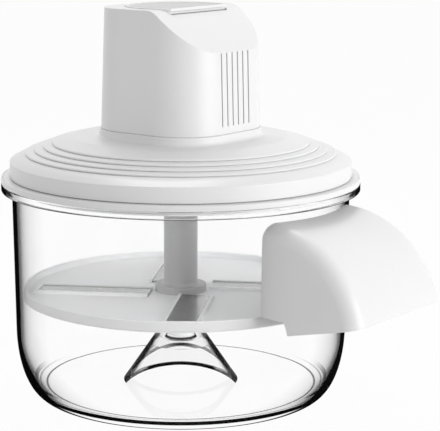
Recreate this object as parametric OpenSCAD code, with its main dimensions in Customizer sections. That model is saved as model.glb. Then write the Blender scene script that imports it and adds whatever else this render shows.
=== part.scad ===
// Electric clove peeler: a clear bowl with a turning peeling disc and a side chute,
// under a stepped lid that carries a motor head with a push button.
// Origin at the centre of the bowl's base, +Z up, +X towards the chute.

/* [Bowl] */
// Outer radius of the bowl wall under its rim
bowl_r = 95; // [88:0.5:104]
// Height of the bowl's rim face
bowl_h = 121.9; // [112:0.1:132]
// Thickness of the bowl wall
bowl_wall = 3; // [2:0.1:4]
// Thickness of the bowl floor
bowl_floor = 5.2; // [3:0.1:7]
// How far the wall leans in between the rim and the rounded lower corner
bowl_draft = 1.2; // [0:0.1:2.5]
// Width of the rounded lower corner
corner_w = 16.2; // [10:0.1:22]
// Height of the rounded lower corner
corner_h = 39; // [28:0.5:46]
// Overhang of the rim flange past the wall
rim_w = 6; // [5.2:0.1:8]
// Thickness of the rim flange
rim_t = 4.1; // [2.4:0.1:5]
// Radius of the fillet under the rim flange
rim_fillet = 1.2; // [0.6:0.1:5]

/* [Chute] */
// How far the centre of the hood's arch lies inside the bowl wall
chute_set_in = 7; // [4:0.5:12]
// How far the centre of the hood's arch lies below its sill
chute_drop = 10.3; // [6:0.1:13]
// Half the width of the hood
chute_half_w = 41.4; // [34:0.1:46]
// Rounding of the hood's long edges
chute_edge_r = 7; // [4:0.5:10]
// Thickness of the hood's walls
chute_wall = 2.5; // [1.6:0.1:3.2]
// Radius of the bend on the underside of the hood
chute_bend_r = 16.6; // [14:0.1:20]
// Angle of the mouth above the horizontal
mouth_angle = 12.6; // [6:0.1:18]
// Gap between the hood's crown and the rim flange
crown_gap = 4; // [1.5:0.1:6]
// Gap between the disc's rim and the hood's sill
sill_gap = 1.3; // [0.8:0.1:4]
// Width of the bowl wall left around the outlet window inside the hood
window_lip = 3; // [2:0.1:6]

/* [Peeling disc] */
// Height of the disc's underside
disc_z = 55.7; // [50:0.1:62]
// Height of the disc's rim above its underside
disc_rim_h = 6.3; // [5:0.1:9]
// Thickness of the disc's floor
disc_floor = 2.5; // [1.6:0.1:3.2]
// Thickness of the disc's rim
disc_rim_t = 2.5; // [1.6:0.1:4]
// Radial gap between the disc and the bowl
disc_gap = 1.6; // [0.8:0.1:4]
// Width of a peeling strip
strip_w = 16; // [10:0.5:20]
// Thickness of a peeling strip
strip_t = 1; // [0.6:0.1:1.6]
// Gap between a strip's outer end and the disc's rim
strip_margin = 7; // [4:0.5:15]
// Angle that a strip is turned by about its outer end
strip_turn = 8; // [0:0.5:12]
// Width of the raised border beside a strip
border_w = 1.8; // [1:0.1:3]
// Height of the raised border beside a strip
border_h = 1.8; // [1:0.1:3]
// Radius of the drive column
column_r = 9.6; // [8.5:0.1:12]

/* [Pedestal] */
// Radius of the pedestal's foot
pedestal_r = 33.2; // [30:0.1:38]
// Radius of the pedestal's top
pedestal_top_r = 15; // [12:0.1:18]
// Height of the pedestal above the bowl floor
pedestal_h = 26.8; // [22:0.1:34]
// Thickness of the pedestal's wall
pedestal_wall = 2.5; // [1.6:0.1:4]
// Height of the pedestal's arched opening
arch_h = 16.1; // [8:0.1:17]
// Radius of the pedestal's arched opening
arch_r = 40.7; // [38:0.1:50]
// Radius of the pivot pin that the disc turns on
pin_r = 3.5; // [2.5:0.1:4.5]
// Direction of the pedestal's feet and of the first peeling strip
turn_angle = 38.4; // [0:0.1:90]

/* [Lid] */
// Gap between the bowl's rim and the lid
lid_gap = 0.3; // [0.1:0.1:0.8]
// Thickness of the lid base's plate
lid_plate = 2; // [1.8:0.1:4]
// Height of the lid base's flange
lid_flange_h = 3; // [2.6:0.1:8]
// Depth of the skirt that reaches into the bowl
skirt_h = 3.9; // [3.6:0.1:6]
// Thickness of the skirt
skirt_t = 2.6; // [2.2:0.1:4]
// How far the cover stands out past the bowl wall
cover_out = 1; // [0:0.1:2]
// Thickness of the cover's wall
cover_t = 2.5; // [1.8:0.1:3]
// Height of the cover's upright wall
cover_wall_h = 8.8; // [7:0.1:14]
// Rounding of the cover's outer edge
cover_edge_r = 1.2; // [0.6:0.1:3]
// Width of the sloping shoulder outside the first step
shoulder_w = 9; // [8:0.1:16]
// Rise of the shoulder from the cover's edge to the first step
shoulder_rise = 4; // [2:0.1:6]
// Slope of a tread, as a rise
tread_rise = 0.85; // [0.4:0.05:1.6]
// Height of a riser
riser_h = 1; // [0.6:0.1:2.5]
// Width of a step
step_w = 5; // [3.5:0.1:6]
// How far a riser leans in
riser_lean = 0.4; // [0:0.1:1.2]
// Width of the sloping ring inside the last step
crown_w = 12.4; // [6:0.1:14]
// Rise of the sloping ring up to the flat crown
crown_rise = 2.8; // [1:0.1:4]

/* [Head] */
// Half the depth of the motor head at its foot
head_half_d = 38.7; // [35:0.1:44]
// Half the width of the motor head at its foot
head_half_w = 39.5; // [35:0.1:44]
// Radius of the motor head's upright corners
head_corner_r = 25.5; // [18:0.1:30]
// How far each side leans in over the height of the head
head_draft = 2; // [0:0.1:4]
// Height of the motor head
head_h = 67.2; // [62:0.1:76]
// Thickness of the head's wall
head_wall = 2.5; // [1.8:0.1:3.2]
// Height of the neck that the head stands on
neck_h = 4.75; // [3:0.05:8]
// Overhang of the neck past the head
neck_w = 1.2; // [0.4:0.1:2.5]
// Angle of the sloping front of the head
slope_angle = 36; // [28:0.5:44]
// Depth of the slope below the top of the head, at the front face
slope_drop = 20; // [15:0.5:24]
// Radius that blends the top into the slope
slope_round = 22; // [12:0.5:28]
// Number of vent slots
vent_count = 6; // [3:1:8]
// Distance between vent slots
vent_pitch = 4.8; // [3.5:0.1:6]
// Width of a vent slot
vent_w = 0.9; // [0.6:0.1:1.6]
// Length of a vent slot
vent_len = 40; // [25:0.5:42]
// Height of a vent slot's lower end above the foot of the head
vent_lift = 4.2; // [3:0.1:6]

/* [Push button] */
// Radius of the button's rounded back
button_r = 27; // [20:0.5:28]
// Distance of the button's straight front edge from its centre
button_flat = 14; // [8:0.5:16]
// Distance of the button's centre behind the middle of the head
button_back = 2; // [0:0.5:4]
// Thickness of the button's plate
button_t = 3.2; // [2.4:0.1:4]
// Height of the button above the top of the head
button_proud = 0.5; // [0.2:0.1:1.2]
// Travel of the button
button_travel = 3; // [2:0.1:4]

/* [Gearbox] */
// Module of the planetary gears
gear_m = 1; // [0.9:0.05:1.1]
// Face width of the gears
gear_w = 8; // [6:0.5:10]
// Thickness of the gearbox's floor and cover
gearbox_plate = 3; // [2.4:0.1:4]
// Thickness of the planet carrier
carrier_t = 3; // [2:0.1:4]
// Radius of the output shaft
output_r = 5; // [4:0.1:6]
// Length of the drive dog inside the drive column
dog_len = 11; // [8:0.5:14]

/* [Motor] */
// Radius of the motor's can
motor_r = 22.5; // [20:0.5:24]
// Thickness of the motor's can
can_t = 1.5; // [1:0.1:2]
// Radius of the motor shaft
shaft_r = 2.5; // [1.8:0.1:3]
// Radius of the cooling fan
fan_r = 19; // [15:0.5:23]
// Height of the cooling fan
fan_h = 6; // [4:0.5:8]

/* [Hidden] */
$fn = 64;
hull_fn = 32;

// Clearances
fit_gap = 0.05;     // between a shaft and its bore
seat_gap = 0.15;    // between fixed pieces that plug together
curve_gap = 0.25;   // between curved faces that lie on each other
run_gap = 0.5;      // between pieces that turn past each other
slide_gap = 0.4;    // around the button
cut = 1;            // overshoot of a cut past a face

// Bowl
rim_r = bowl_r + rim_w;
wall_top = bowl_h - rim_t - rim_fillet;
base_r = bowl_r - bowl_draft - corner_w;
bowl_in = bowl_r - bowl_wall;
corner_steps = 14;
fillet_steps = 6;

// Peeling disc
disc_r = wall_r(disc_z) - bowl_wall - disc_gap;
disc_top = disc_z + disc_rim_h;
disc_face = disc_z + disc_floor;
disc_edge_r = 1.5;
strip_count = 4;

// Pedestal, pivot and hub
pedestal_top = bowl_floor + pedestal_h;
pin_seat = 5;
bush_t = 2;
hub_wall = 2;
bush_r = pin_r + fit_gap + bush_t;
hub_r = bush_r + fit_gap + hub_wall;
hub_z = pedestal_top + run_gap;
hub_roof = 1;
pin_top = disc_z - hub_roof - run_gap;

// Screws: shank radius, head radius, head height
m3 = [1.5, 2.6, 2];
m2 = [1, 1.8, 1.4];
thread_len = 8;

// Drive column
column_screw_r = max(column_r + m3[0] + 1, hub_r + m3[1] + 1);
foot_r = column_screw_r + m3[1];
foot_h = 4;
strip_in = foot_r + 2;
strip_out = disc_r - disc_rim_t - strip_margin;
border_gap = 0.2;

// Chute
sill_z = disc_top + sill_gap;
chute_x = bowl_r - chute_set_in;
chute_z = sill_z - chute_drop;
chute_r = bowl_h - rim_t - crown_gap - chute_z;
chute_in_r = chute_r - chute_wall;
chute_in_w = chute_half_w - chute_wall;
chute_in_edge = chute_edge_r - chute_wall;
window_w = chute_in_w - window_lip;
window_z0 = sill_z + chute_wall;
window_z1 = chute_z + sqrt(chute_in_r * chute_in_r - chute_set_in * chute_set_in) - window_lip;
window_r = 4;
collar_x = sqrt(bowl_in * bowl_in - window_w * window_w) - bowl_wall;
sweep_end = 125;

// Lid
lid_z = bowl_h + lid_gap;
plate_top = lid_z + lid_plate;
lid_top = lid_z + lid_flange_h;
seal_room = 1.4;
skirt_r = bowl_in - seal_room;
skirt_in = skirt_r - skirt_t;
seal_h = 2;
seal_depth = 1;
seal_z = lid_z - skirt_h + 1;
cover_r = bowl_r + cover_out;
flange_round = 0.8;
seat_in = cover_r - cover_t - 4;
step_count = 4;
step_r = cover_r - shoulder_w;
shoulder_z = lid_top + cover_wall_h;
step_h = tread_rise + riser_h;
top_r = step_r - (step_count - 1) * step_w;
first_z = shoulder_z + shoulder_rise;
top_z = first_z + step_count * step_h - tread_rise;
crown_r = top_r - crown_w;
crown_z = top_z + crown_rise;
lid_screw_count = 6;
lid_boss_r = 4;
lid_screw_r = min(skirt_in - lid_boss_r, step_r - cover_t - lid_boss_r);

// Gearbox, from the lid's plate upwards
sun_teeth = 12;
planet_teeth = 18;
ring_teeth = 48;
planet_count = 3;
pressure_angle = 25;
backlash = 0.2;
addendum = 1;
dedendum = 1.25;
arm_r = gear_m * (sun_teeth + planet_teeth) / 2;
ring_wall = 3.2;
ring_r = gear_m * (ring_teeth / 2 + dedendum) + ring_wall;
gearbox_r = ring_r + 7;
gearbox_z = plate_top;
bush_flange = 0.5;
carrier_z = gearbox_z + gearbox_plate + bush_flange + run_gap / 2;
carrier_r = arm_r + 5;
planet_z = carrier_z + carrier_t + run_gap / 2;
ring_z = carrier_z + carrier_t;
ring_h = gear_w + 1.4;
cover_z = ring_z + ring_h;
planet_pin_r = 2;
gearbox_screw_count = 4;
gearbox_screw_r = (ring_r + gearbox_r) / 2;

// Output shaft, seal and dog
seal_r = output_r + 3.5;
bush_out = output_r + 3;
dog_r = output_r + 1;
dog_gap = 0.35;
column_gap = 2.4;
column_top = lid_z - skirt_h - column_gap;
socket_len = dog_len + 1;

// Head
head_z = crown_z + neck_h;
head_top = head_z + head_h;
post_r = 4;
post_h = 14;
post_reach = head_corner_r - head_wall - post_r + 0.5;
post_x = head_half_d - head_corner_r + post_reach * cos(45);
post_y = head_half_w - head_corner_r + post_reach * sin(45);
front_u = head_half_d - head_draft * (head_h - slope_drop) / head_h;
slope_start = front_u - slope_round * sin(slope_angle)
    - (slope_drop - slope_round * (1 - cos(slope_angle))) / tan(slope_angle);
slope_steps = 8;
well_wall = 1.8;
well_floor_t = 2;
spring_room = 5;
button_z = head_top + button_proud - button_t;
well_floor = button_z - spring_room;

// Switch and board, hung under the button's well
stem_r = 3;
switch_gap = 0.4;
stem_below = 3.5;
stem_z = well_floor - well_floor_t - stem_below;
switch_top = stem_z - button_travel - switch_gap;
switch_w = 7;
switch_h = 5;
board_t = 1.6;
board_z = switch_top - switch_h - board_t;
board_half_x = 17;
board_half_y = 20;
board_post_r = 2.8;
board_post_x = board_half_x - board_post_r - 0.5;
board_post_y = board_half_y - board_post_r - 0.5;

// Motor, between the gearbox's cover and the board
motor_z = cover_z + gearbox_plate;
fan_room = 4;
bell_t = 4;
fan_z = board_z - fan_room - fan_h;
bell_z = fan_z - 2 - bell_t;
motor_len = bell_z - motor_z;
can_floor = 2;
bearing_r = shaft_r + 3;
bearing_len = 7;
boss_wall = 1.8;
boss_drop = 2;
magnet_t = 4;
magnet_in = motor_r - can_t - seat_gap - magnet_t;
armature_r = magnet_in - 1;
armature_z = motor_z + 11;
commutator_h = 7;
commutator_r = shaft_r + 3;
commutator_z = bell_z - commutator_h - 1;
armature_h = commutator_z - armature_z - 4;
magnet_z = armature_z - 2;
magnet_h = armature_h + 4;
brush_w = 5;
brush_h = 5;
brush_len = 8;
holder_t = 1.5;
holder_drop = brush_h + 2 * holder_t;
bell_lip = 1;
brush_z = bell_z - holder_drop / 2;

// Power inlet at the back of the head
inlet_r = 5.5;
inlet_bore = 3;
inlet_len = 9;
inlet_depth = 7.5;
inlet_flange_r = 7.2;
inlet_flange_t = 1.2;
inlet_z = head_z + 11;

// Button spring
spring_wire = 0.45;
spring_r = 5.4;
spring_turns = 3.5;
spring_sides = 6;
spring_rings = 8;

// Colours
clear = [0.86, 0.90, 0.92, 0.35];
white = [0.93, 0.93, 0.93];
light_grey = [0.83, 0.83, 0.84];
mid_grey = [0.58, 0.58, 0.59];
dark_grey = [0.25, 0.25, 0.27];
steel = [0.62, 0.63, 0.65];
bronze = [0.72, 0.55, 0.33];
copper = [0.78, 0.46, 0.28];
board_green = [0.10, 0.38, 0.24];
seal_white = [0.88, 0.88, 0.86];

// Outer radius of the bowl's wall at a height above its lower corner
function wall_r(z) = bowl_r - bowl_draft * (wall_top - z) / (wall_top - corner_h);

// Points of an arc
function arc(centre, r, from, to, steps) = [
    for (i = [0:steps])
        let (a = from + (to - from) * i / steps)
        centre + [r * cos(a), r * sin(a)]
];

// Points of an arc of an ellipse
function oval_arc(centre, rx, ry, from, to, steps) = [
    for (i = [0:steps])
        let (a = from + (to - from) * i / steps)
        centre + [rx * cos(a), ry * sin(a)]
];

// The bowl's outer side from the base to the rim, moved out by a distance
function bowl_side(out) = concat(
    oval_arc([base_r + out, corner_h], corner_w, corner_h, -90, 0, corner_steps),
    arc([bowl_r + rim_fillet + out, wall_top], rim_fillet, 180, 90, fillet_steps),
    [[rim_r + out, bowl_h - rim_t], [rim_r + out, bowl_h]]
);

// The bowl's inner side from the rim to the floor
function bowl_inside() = concat(
    [[bowl_in, bowl_h], [bowl_in, wall_top]],
    oval_arc([base_r, corner_h], corner_w - bowl_wall, corner_h - bowl_floor, 0, -90, corner_steps)
);

// Angle, in degrees, that the involute of a base circle has turned at a radius
function involute(base, r) = let (a = acos(base / r)) tan(a) * 180 / PI - a;

// Outline of a gear, with half of its play taken from each tooth
function gear_outline(teeth, tip, root, play) =
    let (
        pitch = gear_m * teeth / 2,
        base = pitch * cos(pressure_angle),
        start = max(base, root),
        middle = 90 / teeth - play / 4 / pitch * 180 / PI + involute(base, pitch),
        radii = [for (i = [0:4]) start + (tip - start) * i / 4]
    )
    [
        for (k = [0:teeth - 1])
            let (
                centre = 360 * k / teeth,
                right = [for (r = radii) [r, centre - middle + involute(base, r)]],
                left = [for (i = [4:-1:0]) [radii[i], centre + middle - involute(base, radii[i])]]
            )
            for (p = concat(
                root < base ? [[root, right[0][1]]] : [],
                right,
                left,
                root < base ? [[root, left[4][1]]] : []
            ))
                p[0] * [cos(p[1]), sin(p[1])]
    ];

// Rectangle with rounded corners, given by half its sizes
module rounded_rect(half_x, half_y, r) {
    square([2 * half_x, 2 * (half_y - r)], center = true);
    square([2 * (half_x - r), 2 * half_y], center = true);
    for (x = [-1, 1], y = [-1, 1])
        translate([x * (half_x - r), y * (half_y - r)]) circle(r);
}

// Ring between two radii
module ring(outer, inner, h) {
    difference() {
        cylinder(r = outer, h = h);
        translate([0, 0, -cut]) cylinder(r = inner, h = h + 2 * cut);
    }
}

// Screw pointing up, with the underside of its head at the origin
module screw(size, len) {
    difference() {
        union() {
            cylinder(r = size[0], h = len);
            translate([0, 0, -size[2]]) cylinder(r = size[1], h = size[2]);
        }
        translate([0, 0, -size[2] - cut]) cylinder(r = size[0], h = size[2] / 2 + cut, $fn = 6);
    }
}

// Copies of a child on a circle, the first one turned by an angle
module on_circle(count, r, first = 0) {
    for (i = [0:count - 1])
        rotate(first + 360 * i / count) translate([r, 0, 0]) children();
}

// Copies of a child at the corners of a rectangle
module at_corners(x, y) {
    for (sx = [-1, 1], sy = [-1, 1])
        translate([sx * x, sy * y, 0]) children();
}

// Opening of the outlet window, from the middle of the bowl outwards
module window_block(inset, from, to) {
    middle = (window_z0 + window_z1) / 2;
    translate([from, 0, middle])
        rotate([90, 0, 90])
            linear_extrude(to - from)
                rounded_rect(window_w - inset, (window_z1 - window_z0) / 2 - inset, window_r - inset);
}

// Block of the hood's bend, swept about the centre of its arch
module bend_block(r, half_w, edge_r, from) {
    translate([chute_x, 0, chute_z])
        rotate([90, 0, 0])
            rotate([0, 0, from])
                rotate_extrude(angle = sweep_end - from)
                    union() {
                        translate([0, edge_r - half_w]) square([r, 2 * (half_w - edge_r)]);
                        translate([0, -half_w]) square([r - edge_r, 2 * half_w]);
                        for (s = [-1, 1])
                            translate([r - edge_r, s * (half_w - edge_r)]) circle(edge_r);
                    }
}

// What is taken off the underside of the bend: the inner curve and the space under the sill
module bend_underside(grow) {
    r = chute_bend_r + grow;
    drop = chute_drop + grow;
    intersection() {
        translate([chute_x, 0, chute_z])
            rotate([90, 0, 0])
                cylinder(r = r, h = 3 * chute_half_w, center = true);
        translate([0, -2 * chute_half_w, 0])
            cube([chute_x + 2 * r, 4 * chute_half_w, chute_z + drop]);
    }
    translate([0, -2 * chute_half_w, 0])
        cube([chute_x + sqrt(r * r - drop * drop), 4 * chute_half_w, chute_z + drop]);
}

module hood_outside() {
    difference() {
        bend_block(chute_r, chute_half_w, chute_edge_r, mouth_angle);
        bend_underside(0);
    }
}

module hood_inside() {
    difference() {
        bend_block(chute_in_r, chute_in_w, chute_in_edge, mouth_angle - 30);
        bend_underside(chute_wall);
    }
}

// Layer that follows the bowl's wall between two distances from its outer face
module wall_layer(from, to) {
    rotate_extrude()
        polygon([
            [wall_r(corner_h) + from, corner_h],
            [wall_r(corner_h) + to, corner_h],
            [bowl_r + to, wall_top],
            [bowl_r + to, bowl_h],
            [bowl_r + from, bowl_h],
            [bowl_r + from, wall_top]
        ]);
}

module bowl() {
    color(clear)
        difference() {
            rotate_extrude() polygon(concat([[0, 0]], bowl_side(0), bowl_inside(), [[0, bowl_floor]]));
            window_block(0, 0, rim_r + cut);
        }
}

module pedestal() {
    plug = pin_seat;
    slope = (pedestal_r - pedestal_top_r) / pedestal_h;
    color(clear)
        translate([0, 0, bowl_floor])
            difference() {
                cylinder(r1 = pedestal_r, r2 = pedestal_top_r, h = pedestal_h);
                translate([0, 0, -cut])
                    cylinder(
                        r1 = pedestal_r - pedestal_wall + slope * cut,
                        r2 = pedestal_top_r - pedestal_wall + slope * plug,
                        h = pedestal_h - plug + cut
                    );
                translate([0, 0, pedestal_h - plug - cut]) cylinder(r = pin_r + fit_gap, h = plug + 2 * cut);
                rotate([0, 0, turn_angle])
                    translate([0, 0, arch_h - arch_r])
                        rotate([90, 0, 0])
                            cylinder(r = arch_r, h = 4 * pedestal_r, center = true);
            }
}

module pivot_pin() {
    color(clear)
        translate([0, 0, pedestal_top - pin_seat])
            cylinder(r = pin_r, h = pin_top - pedestal_top + pin_seat);
}

module chute_hood() {
    color(white)
        difference() {
            union() {
                difference() {
                    hood_outside();
                    hood_inside();
                }
                intersection() {
                    hood_outside();
                    wall_layer(0, chute_wall);
                }
                intersection() {
                    window_block(seat_gap, 0, rim_r);
                    wall_layer(-bowl_wall, chute_wall);
                }
            }
            window_block(seat_gap + chute_wall, 0, bowl_r + 2 * chute_wall);
            difference() {
                rotate_extrude() polygon(concat([[0, 0]], bowl_side(curve_gap), [[0, bowl_h]]));
                window_block(seat_gap, collar_x, rim_r + cut);
            }
        }
}

module peeling_disc() {
    rim_in = disc_r - disc_rim_t;
    bore_r = bush_r + fit_gap;
    bore_top = disc_z - hub_roof;
    color(light_grey) {
        difference() {
            rotate_extrude()
                polygon(concat(
                    [[bore_r, hub_z], [hub_r, hub_z], [hub_r, disc_z]],
                    arc([disc_r - disc_edge_r, disc_z + disc_edge_r], disc_edge_r, -90, 0, 5),
                    [[disc_r, disc_top], [rim_in, disc_top], [rim_in, disc_face]],
                    [[0, disc_face], [0, bore_top], [bore_r, bore_top]]
                ));
            on_circle(3, column_screw_r)
                translate([0, 0, disc_z - cut]) cylinder(r = m3[0] + seat_gap, h = disc_floor + 2 * cut);
        }
        on_circle(strip_count, 0, turn_angle)
            strip_turned()
                strip_border();
    }
}

// Turns a strip or its border about the strip's outer end
module strip_turned() {
    translate([strip_out, 0, 0])
        rotate(-strip_turn)
            translate([-strip_out, 0, 0])
                children();
}

// Raised border on both sides and at the outer end of a strip
module strip_border() {
    half = strip_w / 2 + border_gap;
    for (s = [-1, 1])
        translate([strip_in, s * (half + border_w / 2) - border_w / 2, disc_face - disc_floor / 2])
            cube([strip_out + border_gap + border_w - strip_in, border_w, border_h + disc_floor / 2]);
    translate([strip_out + border_gap, -half, disc_face - disc_floor / 2])
        cube([border_w, 2 * half, border_h + disc_floor / 2]);
}

module peeling_strip(i) {
    color(steel)
        rotate(turn_angle + 360 * (i - 1) / strip_count)
            strip_turned()
                translate([strip_in, -strip_w / 2, disc_face + fit_gap])
                    cube([strip_out - strip_in, strip_w, strip_t]);
}

module hub_bush() {
    color(bronze)
        translate([0, 0, hub_z])
            ring(bush_r, pin_r + fit_gap, disc_z - hub_roof - run_gap - hub_z);
}

module drive_column() {
    color(mid_grey)
        difference() {
            union() {
                translate([0, 0, disc_face]) cylinder(r = column_r, h = column_top - disc_face);
                translate([0, 0, disc_face]) cylinder(r = foot_r, h = foot_h);
            }
            translate([0, 0, column_top - socket_len])
                cylinder(r = dog_r + dog_gap, h = socket_len + cut, $fn = 6);
            on_circle(3, column_screw_r)
                translate([0, 0, disc_face - cut]) cylinder(r = m3[0] + fit_gap, h = foot_h - 1 + cut);
        }
}

module column_screws() {
    color(steel)
        on_circle(3, column_screw_r)
            translate([0, 0, disc_z]) screw(m3, disc_floor + foot_h - 1.2);
}

module lid_base() {
    groove_r = skirt_r - seal_depth;
    color(white)
        difference() {
            rotate_extrude()
                polygon(concat(
                    [[seal_r, lid_z], [skirt_in, lid_z], [skirt_in, lid_z - skirt_h]],
                    [[skirt_r, lid_z - skirt_h], [skirt_r, seal_z], [groove_r, seal_z]],
                    [[groove_r, seal_z + seal_h], [skirt_r, seal_z + seal_h], [skirt_r, lid_z]],
                    [[rim_r, lid_z]],
                    arc([rim_r - flange_round, lid_top - flange_round], flange_round, 0, 90, 5),
                    [[seat_in, lid_top], [seat_in, plate_top], [seal_r, plate_top]]
                ));
            on_circle(gearbox_screw_count, gearbox_screw_r, 45)
                translate([0, 0, lid_z - cut]) cylinder(r = m3[0] + seat_gap, h = lid_plate + 2 * cut);
            on_circle(lid_screw_count, lid_screw_r)
                translate([0, 0, lid_z - cut]) cylinder(r = m3[0] + seat_gap, h = lid_plate + 2 * cut);
        }
}

module lid_seal() {
    color(seal_white)
        translate([0, 0, seal_z + seat_gap])
            ring(bowl_in - curve_gap, skirt_r - seal_depth + seat_gap, seal_h - 2 * seat_gap);
}

// Outer side of the cover from its foot over the steps to the crown
function cover_side() = concat(
    [[cover_r, lid_top]],
    arc([cover_r - cover_edge_r, shoulder_z - cover_edge_r], cover_edge_r, 0, 90, 5),
    [
        for (k = [0:step_count - 1])
            let (r = step_r - k * step_w, z = first_z + k * step_h)
            each [[r + riser_lean, z], [r, z + riser_h]]
    ],
    [[crown_r, crown_z], [0, crown_z]]
);

// Inner side of the cover from the crown down to its foot
function cover_inside() = concat(
    [[0, crown_z - cover_t], [crown_r - cover_t / 2, crown_z - cover_t]],
    [
        for (k = [step_count - 1:-1:0])
            let (r = step_r - k * step_w, z = first_z + k * step_h)
            [r + riser_lean - cover_t / 2, z - cover_t]
    ],
    [[cover_r - cover_t, shoulder_z - cover_t], [cover_r - cover_t, lid_top]]
);

module lid_cover() {
    ring_in = head_corner_r - head_wall - 2;
    inset = head_corner_r - ring_in;
    color(white)
        difference() {
            union() {
                rotate_extrude() polygon(concat(cover_side(), cover_inside()));
                intersection() {
                    on_circle(lid_screw_count, lid_screw_r)
                        translate([0, 0, plate_top]) cylinder(r = lid_boss_r, h = crown_z - plate_top);
                    translate([0, 0, -cover_t / 2])
                        rotate_extrude() polygon(concat([[0, 0], [cover_r, 0]], cover_side()));
                }
                translate([0, 0, crown_z - cover_t / 2])
                    linear_extrude(head_z - crown_z + cover_t / 2)
                        difference() {
                            rounded_rect(head_half_d + neck_w, head_half_w + neck_w, head_corner_r + neck_w);
                            rounded_rect(head_half_d - inset, head_half_w - inset, ring_in);
                        }
                at_corners(post_x, post_y)
                    translate([0, 0, crown_z - cover_t / 2])
                        cylinder(r = post_r, h = head_z - crown_z + cover_t / 2);
            }
            translate([0, 0, crown_z - 2 * cover_t]) cylinder(r = motor_r + 3.5, h = 4 * cover_t);
            at_corners(post_x, post_y)
                translate([0, 0, crown_z - 2 * cover_t])
                    cylinder(r = m3[0] + seat_gap, h = head_z - crown_z + 4 * cover_t);
            on_circle(lid_screw_count, lid_screw_r)
                translate([0, 0, plate_top - cut]) cylinder(r = m3[0] + fit_gap, h = thread_len + cut);
        }
}

module lid_screws() {
    color(steel)
        on_circle(lid_screw_count, lid_screw_r)
            translate([0, 0, lid_z]) screw(m3, lid_plate + thread_len - 0.5);
}

// Block of the head, moved in from its outer faces
module head_block(inset) {
    hull() {
        linear_extrude(0.01)
            rounded_rect(head_half_d - inset, head_half_w - inset, head_corner_r - inset, $fn = hull_fn);
        translate([0, 0, head_h])
            linear_extrude(0.01)
                rounded_rect(
                    head_half_d - head_draft - inset,
                    head_half_w - head_draft - inset,
                    head_corner_r - head_draft - inset,
                    $fn = hull_fn
                );
    }
}

// Space under the head's top and sloping front, moved in from them
module under_slope(inset) {
    reach = 3 * head_half_d;
    r = slope_round - inset;
    centre = [slope_start, head_h - slope_round];
    tangent = centre + r * [sin(slope_angle), cos(slope_angle)];
    rotate([90, 0, 0])
        linear_extrude(4 * head_half_w, center = true)
            polygon(concat(
                [[-reach, -cut], [-reach, head_h - inset]],
                arc(centre, r, 90, 90 - slope_angle, slope_steps),
                [tangent + reach * [cos(slope_angle), -sin(slope_angle)]],
                [[reach, -cut - reach]]
            ));
}

module head_form(inset) {
    intersection() {
        head_block(inset);
        under_slope(inset);
    }
}

// Plan of the button, grown by a distance: round behind and straight in front
module button_plan(grow, h) {
    r = button_r + grow;
    translate([-button_back, 0, 0])
        intersection() {
            cylinder(r = r, h = h);
            translate([-r, -r, 0]) cube([r + button_flat + grow, 2 * r, h]);
        }
}

module motor_housing() {
    color(white)
        difference() {
            union() {
                translate([0, 0, head_z])
                    difference() {
                        head_form(0);
                        head_form(head_wall);
                        translate([0, 0, -cut]) head_foot();
                    }
                intersection() {
                    translate([0, 0, well_floor - well_floor_t])
                        button_plan(slide_gap + well_wall, head_top - well_floor + well_floor_t);
                    translate([0, 0, head_z]) head_form(0);
                }
                translate([-button_back, 0, board_z + board_t])
                    at_corners(board_post_x, board_post_y)
                        cylinder(r = board_post_r, h = well_floor - board_z - board_t - well_floor_t / 2);
                at_corners(post_x, post_y)
                    translate([0, 0, head_z]) cylinder(r = post_r, h = post_h);
            }
            translate([0, 0, well_floor]) button_plan(slide_gap, head_h);
            translate([-button_back, 0, well_floor - 2 * well_floor_t])
                cylinder(r = stem_r + slide_gap, h = 4 * well_floor_t);
            for (i = [0:vent_count - 1])
                translate([
                    head_half_d - head_draft - 2 * head_wall,
                    (i - (vent_count - 1) / 2) * vent_pitch - vent_w / 2,
                    head_z + vent_lift
                ])
                    cube([4 * head_wall, vent_w, vent_len]);
            translate([-head_half_d - cut, 0, inlet_z])
                rotate([0, 90, 0])
                    cylinder(r = inlet_r + seat_gap, h = 3 * head_wall + cut);
            at_corners(post_x, post_y)
                translate([0, 0, head_z - cut]) cylinder(r = m3[0] + fit_gap, h = thread_len + cut);
            translate([-button_back, 0, board_z])
                at_corners(board_post_x, board_post_y)
                    cylinder(r = m2[0] + fit_gap, h = board_t + thread_len);
        }
}

// Opens the foot of the head between its walls
module head_foot() {
    linear_extrude(2 * cut)
        rounded_rect(
            head_half_d - head_wall,
            head_half_w - head_wall,
            head_corner_r - head_wall,
            $fn = hull_fn
        );
}

module housing_screws() {
    color(steel)
        at_corners(post_x, post_y)
            translate([0, 0, crown_z - cover_t]) screw(m3, head_z - crown_z + cover_t + thread_len - 0.5);
}

module push_button() {
    color(light_grey) {
        translate([0, 0, button_z]) button_plan(0, button_t);
        translate([-button_back, 0, stem_z]) cylinder(r = stem_r, h = button_z - stem_z + button_t / 2);
    }
}

module button_spring() {
    rings = spring_turns * spring_rings;
    low = well_floor + spring_wire + fit_gap;
    high = button_z - spring_wire - fit_gap;
    points = [
        for (i = [0:rings], k = [0:spring_sides - 1])
            let (
                turn = 360 * i / spring_rings,
                side = 360 * k / spring_sides,
                r = spring_r + spring_wire * cos(side),
                z = low + (high - low) * i / rings + spring_wire * sin(side)
            )
            [r * cos(turn), r * sin(turn), z]
    ];
    walls = [
        for (i = [0:rings - 1], k = [0:spring_sides - 1])
            let (
                a = i * spring_sides + k,
                b = i * spring_sides + (k + 1) % spring_sides
            )
            each [[a, b, b + spring_sides], [a, b + spring_sides, a + spring_sides]]
    ];
    last = rings * spring_sides;
    ends = [
        for (k = [1:spring_sides - 2])
            each [[0, k + 1, k], [last, last + k, last + k + 1]]
    ];
    color(steel)
        translate([-button_back, 0, 0])
            polyhedron(points, concat(walls, ends));
}

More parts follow.
